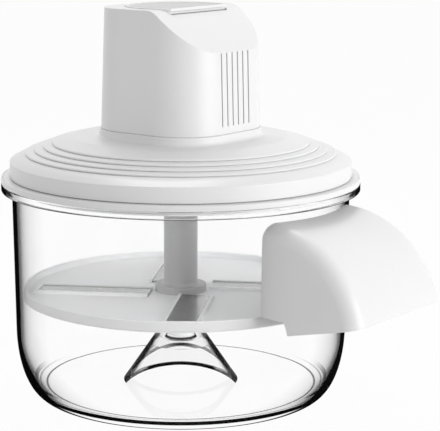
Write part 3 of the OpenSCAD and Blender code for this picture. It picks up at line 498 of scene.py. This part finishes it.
def paintFaces(piece, material, chosen):        # another finish on the faces that a test picks
    piece.data.materials.append(finishes[material])
    for face in piece.data.polygons:
        if chosen(face):
            face.material_index = len(piece.data.materials) - 1
    return piece


def outward(face):                              # above 0 where a face looks away from the axis
    return face.normal.x * face.center.x + face.normal.y * face.center.y


def radiusAt(face):
    return Vector(face.center[:2]).length / mm


# Camera at the photograph's place

cameraPlace = {"azimuth": viewTurn, "pitch": 10.87, "distance": 966.95, "height": 286.9, "lens": 142.07, "sensor": 36,
               "shift": 39.23 / 440, "farthest": 50}    # shift in pixels over the photograph's width


def placeCamera(place):
    turn = math.radians(place["azimuth"])
    data = bpy.data.cameras.new("camera")
    data.lens = place["lens"]
    data.sensor_width = place["sensor"]
    data.shift_x = place["shift"]
    data.clip_end = place["farthest"]
    camera = bpy.data.objects.new("camera", data)
    bpy.context.scene.collection.objects.link(camera)
    camera.location = Vector((math.sin(turn) * place["distance"], -math.cos(turn) * place["distance"],
                              place["height"])) * mm
    camera.rotation_euler = (math.radians(90 - place["pitch"]), 0, turn)
    bpy.context.scene.camera = camera


placeCamera(cameraPlace)
print("camera placed")

# Bowl: a turned shell with a rounded lower corner, a rim flange and the outlet window

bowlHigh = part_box("bowl")[1]
bowlShape = {
    "rimRadius": bowlHigh.y / mm, "rimTop": bowlHigh.z / mm, "rimThick": 4.1, "rimFillet": 1.2, "filletSteps": 8,
    "rimEdge": 0.5, "wallRadius": 95.0, "wall": 3.0, "floor": 5.2, "cornerWide": 16.2, "cornerHigh": 39.0, "lean": 1.2,
    "arcSteps": 28, "turns": 320}
windowShape = {"halfWide": 35.9, "low": 65.8, "high": 107.1, "corner": 4.0}


def wallTop(s):                                 # where the wall meets the rim's fillet
    return s["rimTop"] - s["rimThick"] - s["rimFillet"]


def windowBlock(name, s, w, inset, last):       # from half way out to a given distance
    middle = (w["low"] + w["high"]) / 2
    wide, tall, corner = w["halfWide"] - inset, (w["high"] - w["low"]) / 2 - inset, w["corner"] - inset
    corners = [(wide, 0), (wide, tall, corner), (-wide, tall, corner), (-wide, -tall, corner), (wide, -tall, corner),
               (wide, 0)]
    first = s["wallRadius"] / 2
    return drawn(name, softened(corners)[:-1], fromFront, ((first + last) / 2, 0, middle), last - first)


def makeBowl(s, w):
    baseRadius = s["wallRadius"] - s["lean"] - s["cornerWide"]
    inside = s["wallRadius"] - s["wall"]
    rimIn, rimLow = s["wallRadius"] + s["rimFillet"], s["rimTop"] - s["rimThick"]
    rim = softened([(rimIn, rimLow), (s["rimRadius"], rimLow, s["rimEdge"]),
                    (s["rimRadius"], s["rimTop"], s["rimEdge"]), (inside, s["rimTop"], s["rimEdge"]),
                    (inside, wallTop(s))])
    outline = [(0, 0)]
    outline += arcPoints((baseRadius, s["cornerHigh"]), (s["cornerWide"], s["cornerHigh"]), -90, 0, s["arcSteps"])
    outline += arcPoints((rimIn, wallTop(s)), (s["rimFillet"],) * 2, 180, 90, s["filletSteps"])
    outline += rim[1:]
    outline += arcPoints((baseRadius, s["cornerHigh"]),
                         (s["cornerWide"] - s["wall"], s["cornerHigh"] - s["floor"]), 0, -90, s["arcSteps"])
    outline += [(0, s["floor"])]
    bowl = turned("clearBowl", outline, s["turns"])
    carve(bowl, windowBlock("windowTool", s, w, 0, 1.5 * s["wallRadius"]))
    finish(bowl, "bowl_unit", ["bowl"], "clearWallPaintedDark")

    def isInside(face):                         # looks at the axis, or up
        return outward(face) < -closeBy or (abs(outward(face)) <= closeBy and face.normal.z > 0)

    paintFaces(bowl, "clearInsidePaintedLines", isInside)
    return paintFaces(bowl, "clearRimPaintedDark", lambda face: face.center.z / mm > wallTop(s))


makeBowl(bowlShape, windowShape)

# Pedestal: a clear hollow cone with an arch cut through it

pedestalLow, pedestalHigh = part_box("pedestal")
pedestalShape = {
    "low": pedestalLow.z / mm, "high": pedestalHigh.z / mm, "foot": 33.2, "top": 15.0, "wall": 2.5, "plug": 5.0,
    "pin": 3.55, "edge": 0.5, "turns": 144,
    "archHigh": 15.0, "archRadius": clearLook["archRing"], "archSteps": 256, "archEdge": 0.35,
    "boss": clearLook["cupPaintedLines"][0][0], "cup": clearLook["cupPaintedLines"][1][0], "cupDeep": 1.2, "cupSlope": 0.6,
    "cupEdge": 0.3, "cupFillet": 0.4, "slack": 0.1, "cupSlack": 0.2}


def makePedestal(s):
    lean = (s["foot"] - s["top"]) / (s["high"] - s["low"])
    roof = s["high"] - s["plug"]
    cupFloor = s["high"] - s["cupDeep"]
    outline = softened([(s["foot"] - s["wall"], s["low"]), (s["foot"], s["low"], s["edge"]),
                        (s["top"], s["high"], s["edge"]), (s["cup"], s["high"], s["cupEdge"]),
                        (s["cup"] - s["cupSlope"], cupFloor, s["cupFillet"]), (s["boss"], cupFloor, s["cupFillet"]),
                        (s["boss"], s["high"], s["cupEdge"]), (s["pin"], s["high"]), (s["pin"], roof),
                        (s["top"] - s["wall"] + lean * s["plug"], roof, s["edge"]),
                        (s["foot"] - s["wall"], s["low"])])
    cone = turned("clearPedestal", outline, s["turns"])
    archMiddle = s["low"] + s["archHigh"] - s["archRadius"]
    carve(cone, cylinder("archTool", s["archRadius"], 4 * s["foot"], (0, 0, archMiddle),
                         (math.pi / 2, 0, math.radians(viewTurn)), s["archSteps"]))
    closeUp(cone)
    roundEdges(cone, s["archEdge"], 2, 40)
    finish(cone, "bowl_unit", ["pedestal"], "clearConePaintedDark")

    def isPlain(face):                          # the inner wall and the roof
        high = face.center.z / mm
        deep = s["foot"] - lean * (high - s["low"]) - radiusAt(face)
        inner = deep > s["wall"] * (1 - s["slack"]) and outward(face) < 0
        return inner or high < cupFloor - s["cupSlack"] and deep > s["wall"] * (1 + s["slack"])

    return paintFaces(cone, "clearCore", isPlain)


makePedestal(pedestalShape)

# Peeling disc: a tray with a raised rim, a hub below and borders beside the strips

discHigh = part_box("peeling_disc")[1]
discShape = {"radius": discHigh.y / mm, "under": 55.7, "face": 58.2, "top": discHigh.z / mm, "rimThick": 2.5,
             "hub": 7.6, "hubLow": 32.5, "hubEdge": 0.5, "hubRoot": 2.0, "bore": 5.6, "boreTop": 54.7, "edge": 1.5,
             "lip": 0.7, "fillet": 1.2, "turns": 192, "upright": 0.5}
stripShape = {"count": 4, "first": viewTurn, "inner": 16.7, "outer": 79.98, "halfWide": 8.0, "low": 58.25,
              "high": 59.25, "gap": 0.2, "border": 1.8, "borderTop": 60.0, "edge": 0.25, "turn": 8.0}


def onStrip(strip, outline):                    # turned about the strip's outer end
    turn = -math.radians(strip["turn"])
    return [(strip["outer"] + (u - strip["outer"]) * math.cos(turn) - v * math.sin(turn),
             (u - strip["outer"]) * math.sin(turn) + v * math.cos(turn)) for u, v in outline]


def copiedRound(piece, name, strip, k):         # a copy with its own mesh, turned round the axis
    other = copyOf(piece, name)
    other.rotation_euler = (0, 0, math.radians(strip["first"] + 360 * k / strip["count"]))
    bpy.ops.object.transform_apply(location=False, rotation=True, scale=False)
    return other


def makeDisc(s, strip):
    rimIn = s["radius"] - s["rimThick"]
    outline = softened([(s["bore"], s["hubLow"]), (s["hub"], s["hubLow"], s["hubEdge"]),
                        (s["hub"], s["under"], s["hubRoot"]), (s["radius"], s["under"], s["edge"]),
                        (s["radius"], s["top"], s["lip"]), (rimIn, s["top"], s["lip"]),
                        (rimIn, s["face"], s["fillet"]), (0, s["face"])])
    outline += [(0, s["boreTop"]), (s["bore"], s["boreTop"]), (s["bore"], s["hubLow"])]
    disc = turned("peelingDisc", outline, s["turns"])
    low = (s["under"] + s["face"]) / 2
    end = strip["outer"] + strip["gap"]
    side = strip["halfWide"] + strip["gap"]
    wide = side + strip["border"]
    frameLine = [(strip["inner"], side), (end, side), (end, -side), (strip["inner"], -side), (strip["inner"], -wide),
                 (end + strip["border"], -wide), (end + strip["border"], wide), (strip["inner"], wide)]
    border = drawn("stripBorder", onStrip(strip, frameLine), fromAbove, (0, 0, (low + strip["borderTop"]) / 2),
                   strip["borderTop"] - low)
    roundEdges(border, strip["edge"], 2)
    for k in range(strip["count"]):
        carve(disc, copiedRound(border, "borderCopy", strip, k), "UNION")
    bpy.data.objects.remove(border)
    finish(disc, "disc_unit", ["peeling_disc"], "lightGrey")

    def isSide(face):                           # the tray's upright outer face, which gets painted shade
        return abs(face.normal.z) < s["upright"] and radiusAt(face) > s["radius"] - s["edge"]

    # the side takes a darker grey of the same plastic: painted shade
    return paintFaces(disc, "discSideShade", isSide)


def makeStrips(s):
    bar = [(s["inner"], -s["halfWide"]), (s["outer"], -s["halfWide"]), (s["outer"], s["halfWide"]),
           (s["inner"], s["halfWide"])]
    first = drawn("stripPattern", onStrip(s, bar), fromAbove, (0, 0, (s["low"] + s["high"]) / 2), s["high"] - s["low"])
    roundEdges(first, s["edge"])
    for k in range(s["count"]):
        strip = copiedRound(first, "peelingStrip%d" % (k + 1), s, k)
        finish(strip, "disc_unit", ["peeling_strip_%d" % (k + 1)], "strip")
    bpy.data.objects.remove(first)


makeDisc(discShape, stripShape)
makeStrips(stripShape)

# Drive column on its screwed foot, with a hexagonal socket in the top

columnLow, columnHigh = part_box("drive_column")
columnShape = {"low": columnLow.z / mm, "high": columnHigh.z / mm, "radius": 9.6, "foot": columnHigh.y / mm,
               "footHigh": 4.0, "footEdge": 0.2, "edge": 0.6, "fillet": 1.6, "socket": 6.35, "socketDeep": 12.0,
               "turns": 96}


def makeColumn(s):
    footTop = s["low"] + s["footHigh"]
    outline = softened([(0, s["low"]), (s["foot"], s["low"], s["footEdge"]), (s["foot"], footTop, s["edge"]),
                        (s["radius"], footTop, s["fillet"]), (s["radius"], s["high"], s["edge"]), (0, s["high"])])
    column = turned("driveColumn", outline, s["turns"])
    carve(column, cylinder("socketTool", s["socket"], 2 * s["socketDeep"], (0, 0, s["high"]), (0, 0, math.pi / 6), 6))
    return finish(column, "disc_unit", ["drive_column"], "midGrey")


makeColumn(columnShape)

# Lid base: the plate and flange on the bowl's rim, with the skirt that holds the seal

lidLow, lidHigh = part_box("lid_base")
lidShape = {"rim": lidHigh.y / mm, "top": lidHigh.z / mm, "low": 122.2, "plateTop": 124.2, "skirtLow": lidLow.z / mm,
            "skirt": 90.6, "skirtIn": 88.0, "skirtFillet": 1.0, "grooveDeep": 1.0, "grooveLow": 119.3,
            "grooveHigh": 121.3, "hole": 8.5, "seat": 89.5, "edge": 0.4, "flangeEdge": 0.5, "line": 99.9,
            "lineDeep": 0.35, "turns": 240}


def makeLidBase(s):
    groove = s["skirt"] - s["grooveDeep"]
    outline = softened([(s["hole"], s["low"]), (s["skirtIn"], s["low"], s["skirtFillet"]),
                        (s["skirtIn"], s["skirtLow"], s["edge"]), (s["skirt"], s["skirtLow"], s["edge"]),
                        (s["skirt"], s["grooveLow"]), (groove, s["grooveLow"]), (groove, s["grooveHigh"]),
                        (s["skirt"], s["grooveHigh"]), (s["skirt"], s["low"]), (s["rim"], s["low"], s["edge"]),
                        (s["rim"], s["top"], s["flangeEdge"]), (s["line"] + s["lineDeep"] / 2, s["top"]),
                        (s["line"], s["top"] - s["lineDeep"]), (s["line"] - s["lineDeep"] / 2, s["top"]),
                        (s["seat"], s["top"]), (s["seat"], s["plateTop"]), (s["hole"], s["plateTop"]),
                        (s["hole"], s["low"])])
    base = turned("lidBase", outline, s["turns"])
    return finish(base, "lid_unit", ["lid_base"], "white")


makeLidBase(lidShape)

# Lid cover: the stepped upper lid with the neck that the head stands on

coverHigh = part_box("lid_cover")[1]
coverShape = {"radius": 96.0, "low": lidHigh.z / mm, "edgeHigh": 134.0, "edge": 0.9, "wall": 2.5, "bulge": 0.5,
              "shoulderSoft": 20.0, "steps": 4, "firstStep": 87.0, "firstHigh": 138.0, "stepWide": 5.0,
              "treadRise": 0.85, "riser": 1.0, "lean": 0.8, "outerSoft": 0.85, "slotHigh": 0.18, "slotDeep": 0.5,
              "slotEdge": 0.1, "crownWide": 12.4, "crownRise": 2.8, "crownSoft": 3.0, "opening": 26.0, "seam": 0.45,
              "seamDeep": 1.9, "seamEdge": 0.12, "turns": 240}
headPlan = {"half": (38.7, 39.5), "corner": 25.5}   # shared by the neck and the head
neckShape = {**headPlan, "top": coverHigh.z / mm, "out": 1.2, "root": 1.0, "fillet": 2.2, "filletTurn": (-100, -180),
             "filletSteps": 10, "edge": 0.25, "hollow": -6.0, "hollowDeep": 0.9, "past": 5.0}


def makeLidCover(s, n):
    rise = s["treadRise"] + s["riser"]
    steps = [(s["firstStep"] - k * s["stepWide"], s["firstHigh"] + k * rise) for k in range(s["steps"])]
    top = steps[-1][1] + s["riser"] + s["crownRise"]
    crown = steps[-1][0] - s["crownWide"]
    seamIn, seamTop = s["radius"] - s["seamDeep"], s["low"] + s["seam"]
    shoulder = (s["radius"] + s["firstStep"]) / 2, (s["edgeHigh"] + s["firstHigh"]) / 2 + s["bulge"]
    corners = [(seamIn, s["low"]), (seamIn, seamTop), (s["radius"], seamTop, s["seamEdge"]),
               (s["radius"], s["edgeHigh"], s["edge"]), (*shoulder, s["shoulderSoft"])]
    for radius, height in steps:
        slotIn, slotTop = radius - s["slotDeep"], height + s["slotHigh"]
        corners += [(slotIn, height), (slotIn, slotTop), (radius + s["lean"] / 2, slotTop, s["slotEdge"]),
                    (radius, height + s["riser"], s["outerSoft"])]
    corners += [(crown, top, s["crownSoft"]), (s["opening"], top)]
    outline = softened(corners)
    outline += [(s["opening"], top - s["wall"]), (crown - s["wall"] / 2, top - s["wall"])]
    outline += [(radius + s["lean"] - s["wall"] / 2, height - s["wall"]) for radius, height in reversed(steps)]
    outline += [(s["radius"] - s["wall"], s["edgeHigh"] - s["wall"]), (s["radius"] - s["wall"], s["low"]),
                (seamIn, s["low"])]
    cover = turned("lidCover", outline, s["turns"])
    sweep = arcPoints((n["out"] + n["fillet"], top + n["fillet"]), (n["fillet"],) * 2, *n["filletTurn"],
                      n["filletSteps"])
    ends = [(sweep[0][0], top - n["root"])] + sweep
    ends += [(n["out"], n["top"] - n["edge"]), (n["out"] - n["edge"], n["top"])]
    carve(cover, raisedPad("neckTool", n["half"], n["corner"], ends), "UNION")
    ends = [(n["hollow"], top - n["hollowDeep"]), (n["hollow"], n["top"] + n["past"])]
    carve(cover, raisedPad("hollowTool", n["half"], n["corner"], ends))
    return finish(cover, "lid_unit", ["lid_cover"], "white")


makeLidCover(coverShape, neckShape)

# Motor housing: a tower with rounded corners, a sloping front, vents and the button's well

headLow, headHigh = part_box("motor_housing")
headShape = {**headPlan, "draft": 2.0, "low": headLow.z / mm, "top": headHigh.z / mm, "wall": 2.5, "cornerSteps": 16,
             "slope": 40.0, "slopeDrop": 22.8, "slopeRound": 12.0, "slopeSteps": 14, "edge": 0.9, "edgeSteps": 4,
             "edgeAngle": 30, "footEdge": 0.35, "past": 1.0}
ventShape = {"count": 6, "pitch": 4.8, "wide": 1.0, "long": 40.0, "lift": 4.2}
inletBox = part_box("power_inlet")
inletHole = {"radius": 5.65, "deep": 16.0, "sides": 64, "middle": (inletBox[0].z + inletBox[1].z) / 2 / mm}
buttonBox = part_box("push_button")
buttonShape = {"radius": 29.0, "flat": 15.0, "back": -2.0, "top": buttonBox[1].z / mm, "thick": 3.2, "steps": 64,
               "gap": 0.4, "wellFloor": 211.6, "wellWall": 1.8, "wellThick": 2.0, "wellPast": 5.0, "pocketPast": 20.0,
               "stem": 3.0, "stemLow": buttonBox[0].z / mm, "stemHole": 12.0, "edge": 0.35, "lip": 1.6,
               "lipDeep": 1.2, "lipPast": 5.0, "past": 1.0, "ring": 1.5, "labelDeep": 0.25, "level": 0.9,
               "slack": 0.05}


def slopeTool(name, s, inset):                  # what lies above the sloping front
    tall = s["top"] - s["low"]
    angle = math.radians(s["slope"])
    frontAt = s["half"][0] - s["draft"] * (tall - s["slopeDrop"]) / tall
    fall = s["slopeDrop"] - s["slopeRound"] * (1 - math.cos(angle))
    startAt = frontAt - s["slopeRound"] * math.sin(angle) - fall / math.tan(angle)
    radius = s["slopeRound"] - inset
    bend = arcPoints((startAt, s["top"] - s["slopeRound"]), (radius, radius), 90, 90 - s["slope"], s["slopeSteps"])
    reach = 3 * s["half"][0]
    end = (bend[-1][0] + reach * math.cos(angle), bend[-1][1] - reach * math.sin(angle))
    outline = [(-reach, s["top"] + reach), (-reach, s["top"] - inset)] + bend + [end, (end[0], s["top"] + reach)]
    return drawn(name, outline, fromSide, (0, 0, 0), 6 * s["half"][1])


def headBlock(name, s, inset=0, below=0):       # the tower, or what hollows it from below
    half = [h - inset for h in s["half"]]
    block = roundedPad(name, half, s["corner"] - inset, s["low"] - below, s["cornerSteps"])
    foot = 0 if below else s["footEdge"]
    if foot:                                    # a fine chamfer at the seam
        bpy.ops.transform.resize(value=[1 - foot / h for h in half] + [1])
    raisePad(half, [(-foot, s["low"] - below), (0, s["low"] + foot), (-s["draft"], s["top"])])
    closeUp(block)
    carve(block, slopeTool("slopeTool", s, inset))
    return block


def buttonPlan(name, b, grow, low, high):
    radius = b["radius"] + grow
    flat = b["flat"] + grow
    turn = math.degrees(math.acos(flat / radius))
    outline = arcPoints((b["back"], 0), (radius, radius), turn, 360 - turn, b["steps"])
    return drawn(name, outline, fromAbove, (0, 0, (low + high) / 2), high - low)


def makeHousing(s, v, b, inlet):
    tower = headBlock("motorHousing", s)
    roundEdges(tower, s["edge"], s["edgeSteps"], s["edgeAngle"])
    well = copyOf(tower, "wellTool")
    carve(well, buttonPlan("wellPlan", b, b["gap"] + b["wellWall"], b["wellFloor"] - b["wellThick"],
                           s["top"] + b["wellPast"]), "INTERSECT")
    carve(tower, headBlock("hollowTool", s, s["wall"], s["past"]))
    carve(tower, well, "UNION")
    carve(tower, buttonPlan("pocketTool", b, b["gap"], b["wellFloor"], s["top"] + b["pocketPast"]))
    carve(tower, cylinder("stemTool", b["stem"] + b["gap"], b["stemHole"], (b["back"], 0, b["wellFloor"])))
    slot = [(-v["wide"] / 2, 0), (v["wide"] / 2, 0), (v["wide"] / 2, v["long"]), (-v["wide"] / 2, v["long"])]
    vent = drawn("ventTool", slot, fromFront, (s["half"][0] - s["draft"], 0, s["low"] + v["lift"]), 4 * s["wall"])
    for k in range(v["count"]):
        other = copyOf(vent, "ventCopy")
        other.location.y = (k - (v["count"] - 1) / 2) * v["pitch"] * mm
        carve(tower, other)
    bpy.data.objects.remove(vent)
    carve(tower, cylinder("inletTool", inlet["radius"], inlet["deep"], (-s["half"][0], 0, inlet["middle"]),
                          (0, math.pi / 2, 0), inlet["sides"]))
    return finish(tower, "lid_unit", ["motor_housing"], "white")


def makeButton(b):
    low = b["top"] - b["thick"]
    plate = buttonPlan("pushButton", b, 0, low, b["top"])
    front, lipLow = b["back"] + b["flat"], b["top"] - b["lip"]
    under = [(front - b["lipDeep"], low - b["past"]), (front + b["lipPast"], low - b["past"]),
             (front + b["lipPast"], lipLow), (front - b["lipDeep"], lipLow)]
    carve(plate, drawn("lipTool", under, fromSide, (0, 0, 0), 4 * b["radius"]))
    roundEdges(plate, b["edge"], 3, 40)
    carve(plate, buttonPlan("labelTool", b, -b["ring"], b["top"] - b["labelDeep"], b["top"] + b["past"]))
    stemTop = b["top"] - b["thick"] / 2
    carve(plate, cylinder("stemPiece", b["stem"], stemTop - b["stemLow"],
                          (b["back"], 0, (stemTop + b["stemLow"]) / 2)), "UNION")
    finish(plate, "button_unit", ["push_button"], "white")

    def isInset(face):                          # the floor of the shallow recess in the top
        return face.normal.z > b["level"] and abs(face.center.z / mm - b["top"] + b["labelDeep"]) < b["slack"]

    return paintFaces(plate, "panelGrey", isInset)


makeHousing(headShape, ventShape, buttonShape, inletHole)
makeButton(buttonShape)

# Spring under the button, a coil with a mesh of its own; the real spring flattens as the button goes down

springLow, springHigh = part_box("button_spring")
springShape = {"wire": 0.45, "turns": 3.5, "wireSides": 12, "stepsPerTurn": 40, "keep": 0.38}


def makeSpring(s, b):
    wire = s["wire"] * mm
    radius = (springHigh.y - springLow.y) / 2 - wire
    steps = int(s["turns"] * s["stepsPerTurn"])
    deselectAll()
    bpy.ops.mesh.primitive_circle_add(vertices=s["wireSides"], radius=wire, rotation=(math.pi / 2, 0, 0))
    spring = named("buttonSpring")
    bpy.ops.object.transform_apply(location=False, rotation=True, scale=False)
    editAll(spring)
    bpy.ops.transform.translate(value=(radius, 0, springLow.z + wire))
    useModifier(spring, "SCREW", axis="Z", angle=2 * math.pi * s["turns"],
                screw_offset=springHigh.z - springLow.z - 2 * wire, steps=steps, render_steps=steps)
    editAll(spring)
    bpy.ops.mesh.fill_holes(sides=0)
    bpy.ops.mesh.select_all(action="SELECT")
    bpy.ops.transform.translate(value=(b["back"] * mm, 0, 0))
    closeUp(spring)
    finish(spring, "lid_unit", ["button_spring"], "steel")
    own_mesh(spring)
    return spring


makeSpring(springShape, buttonShape)

# Hood: an arched cover over the outlet window, wider at its mouth

hoodShape = {"centre": (88.0, 53.0), "radius": 60.0, "halfAtWall": 39.6, "halfAtMouth": 43.2, "edge": 8.5,
             "edgeSteps": 8, "wall": 2.5, "core": 6.0, "bend": 16.6, "bendSteps": 16, "sill": 63.3, "mouth": 12.6,
             "lastTurn": 120.0, "steps": 44, "open": 24.0, "seat": 0.25, "plateIn": 1.0}


def hoodBlock(name, s, inset, first):           # the section at the mouth, extruded round the middle of the arch
    middle = Vector((s["centre"][0], 0, s["centre"][1])) * mm
    widest = s["halfAtMouth"] - inset
    edge = s["edge"] - inset
    corner = arcPoints((s["radius"] - s["edge"], s["halfAtMouth"] - s["edge"]), (edge, edge), 0, 90, s["edgeSteps"])
    upper = corner + [(s["core"], widest)]
    section = [(r, -w) for r, w in reversed(upper)] + upper
    turn = math.radians(first)
    block = drawLine(name, [middle + Vector((r * math.cos(turn), w, r * math.sin(turn))) * mm for r, w in section])
    bpy.ops.mesh.edge_face_add()
    last = widest
    for k in range(s["steps"]):
        angle = first + (s["lastTurn"] - first) * (k + 1) / s["steps"]
        along = min(1, (s["lastTurn"] - angle) / (s["lastTurn"] - s["mouth"]))
        half = s["halfAtWall"] + (s["halfAtMouth"] - s["halfAtWall"]) * along - inset
        bpy.ops.mesh.extrude_region_move(TRANSFORM_OT_translate={"value": (0, 0, 0)})
        bpy.ops.transform.rotate(value=math.radians((s["lastTurn"] - first) / s["steps"]), orient_axis="Y",
                                 center_override=middle)
        bpy.ops.transform.resize(value=(1, half / last, 1), center_override=middle)
        last = half
    return closeUp(block)


def hoodUnderside(name, s, grow):               # the space under the sill and inside the bend
    radius = s["bend"] + grow
    drop = s["sill"] - s["centre"][1] + grow
    first = math.degrees(math.asin(drop / radius))
    outline = [(0, s["centre"][1] + drop)]
    outline += arcPoints(s["centre"], (radius, radius), first, -90, s["bendSteps"])
    outline += [(0, s["centre"][1] - radius)]
    return drawn(name, outline, fromSide, (0, 0, 0), 4 * s["halfAtMouth"])


def wallRing(name, s, inner, outer):            # a layer that follows the bowl's wall
    line = [(s["wallRadius"] - s["lean"], s["cornerHigh"]), (s["wallRadius"], wallTop(s)),
            (s["wallRadius"], s["rimTop"])]
    outline = [(r + inner, z) for r, z in line] + [(r + outer, z) for r, z in reversed(line)]
    return turned(name, outline + outline[:1], s["turns"])


def makeHood(s, bowl, window):
    hood = hoodBlock("chuteHood", s, 0, s["mouth"])
    carve(hood, hoodUnderside("underTool", s, 0))
    plate = hoodBlock("backPlate", s, s["wall"] / 2, s["mouth"])    # its edges end inside the hood's walls
    carve(plate, hoodUnderside("underTool", s, s["wall"] / 2))
    hollow = hoodBlock("hollowTool", s, s["wall"], s["mouth"] - s["open"])
    carve(hollow, hoodUnderside("underTool", s, s["wall"]))
    carve(hood, hollow)
    carve(plate, wallRing("plateRing", bowl, -s["plateIn"], s["wall"]), "INTERSECT")
    carve(hood, plate, "UNION")
    carve(hood, wallRing("insideTool", bowl, -bowl["wallRadius"] / 2, s["seat"]))
    clearOf = bowl["wallRadius"] + 2 * s["wall"]
    carve(hood, windowBlock("windowTool", bowl, window, s["seat"] + s["wall"], clearOf))
    collar = windowBlock("windowCollar", bowl, window, s["seat"], clearOf)
    carve(collar, windowBlock("collarTool", bowl, window, s["seat"] + s["wall"], clearOf + s["wall"]))
    carve(collar, wallRing("collarRing", bowl, -bowl["wall"], s["wall"] / 2), "INTERSECT")
    carve(hood, collar, "UNION")
    return finish(hood, "bowl_unit", ["chute_hood"], "white")


makeHood(hoodShape, bowlShape, windowShape)

# Finishes of the pieces that keep their solid form

nodeFinish = {
    "clearCore": ["pivot_pin"],
    "steel": ["column_screws", "lid_screws", "housing_screws", "gearbox_screws", "motor_screws",
              "board_screws", "motor_shaft", "output_shaft", "planet_carrier", "planet_pins",
              "motor_can", "armature", "ring_gear"],
    "bronze": ["hub_bush", "output_bush", "lower_bearing", "upper_bearing", "sun_pinion"],
    "copper": ["armature_winding", "commutator"],
    "nylon": ["planet_gear_1", "planet_gear_2", "planet_gear_3"],
    "black": ["gearbox_housing", "gearbox_cover", "motor_end_bell", "cooling_fan", "start_switch", "power_inlet"],
    "magnet": ["field_magnets"], "carbon": ["carbon_brushes"], "board": ["control_board"],
    "silicone": ["lid_seal"], "rubber": ["shaft_seal"]}
for finishName, members in nodeFinish.items():
    for member in members:
        nodes[member].data.materials.clear()
        nodes[member].data.materials.append(finishes[finishName])
print("solid pieces finished:", sum(len(members) for members in nodeFinish.values()))

# Studio: a pale floor, soft lamps and an even sky

studio = {"floorSize": 6.0, "floorDrop": 0.0004, "floorTone": 0.9, "floorChange": 0.01, "floorScale": 3.0,
          "floorGlow": 0.96, "sky": 0.46, "aim": 0.12,
          "lamps": {"keyLamp": (16.7, 1.2, (1.28, 0.72, 0.3)), "fillLamp": (2.0, 1.2, (-1.25, 0.6, 0.35)),
                    "topLamp": (1.8, 0.3, (-0.05, -0.3, 0.85))}}    # power, size, place to the right, nearer and up


def seenBy(start):                              # rays that show the background, also mirrored or through clear walls
    direct, mirrored, through = (start.add("LightPath", {}, {}, "Is %s Ray" % kind)
                                 for kind in ("Camera", "Glossy", "Transmission"))
    return direct.atLeast(mirrored).atLeast(through)


def makeStudio(s):
    deselectAll()
    bpy.ops.mesh.primitive_plane_add(size=s["floorSize"], location=(0, 0, -s["floorDrop"]))
    floor = named("floor")
    material, start = newFinish("paleFloor")
    cloud = noiseOf(start, placeOf(start), s["floorScale"])
    colour = mixColours(cloud, grey(s["floorTone"] - s["floorChange"]), grey(s["floorTone"]))
    paint = start.add("BsdfDiffuse", {}, {"Color": colour})
    glow = start.add("Emission", {}, {"Color": grey(1.0), "Strength": 1.0})
    showSurface(start, start.add("MixShader", {}, {0: seenBy(start) * s["floorGlow"], 1: paint, 2: glow}))
    floor.data.materials.append(material)

    world = bpy.data.worlds.new("studio")
    bpy.context.scene.world = world
    world.use_nodes = True
    world.node_tree.nodes.clear()
    start = Field(world.node_tree)
    level = s["sky"] + seenBy(start) * (1 - s["sky"])
    start.add("OutputWorld", {}, {"Surface": start.add("Background", {}, {"Color": grey(1.0), "Strength": level})})

    turn = math.radians(viewTurn)
    right, toward = Vector((math.cos(turn), math.sin(turn), 0)), Vector((math.sin(turn), -math.cos(turn), 0))
    for name, (power, size, place) in s["lamps"].items():
        data = bpy.data.lights.new(name, "AREA")
        data.energy = power
        data.size = size
        lamp = bpy.data.objects.new(name, data)
        bpy.context.scene.collection.objects.link(lamp)
        lamp.location = right * place[0] + toward * place[1] + Vector((0, 0, place[2]))
        lamp.rotation_euler = (lamp.location - Vector((0, 0, s["aim"]))).to_track_quat("Z", "Y").to_euler()


makeStudio(studio)
bpy.context.scene.view_settings.view_transform = "Standard"
print("studio lit")
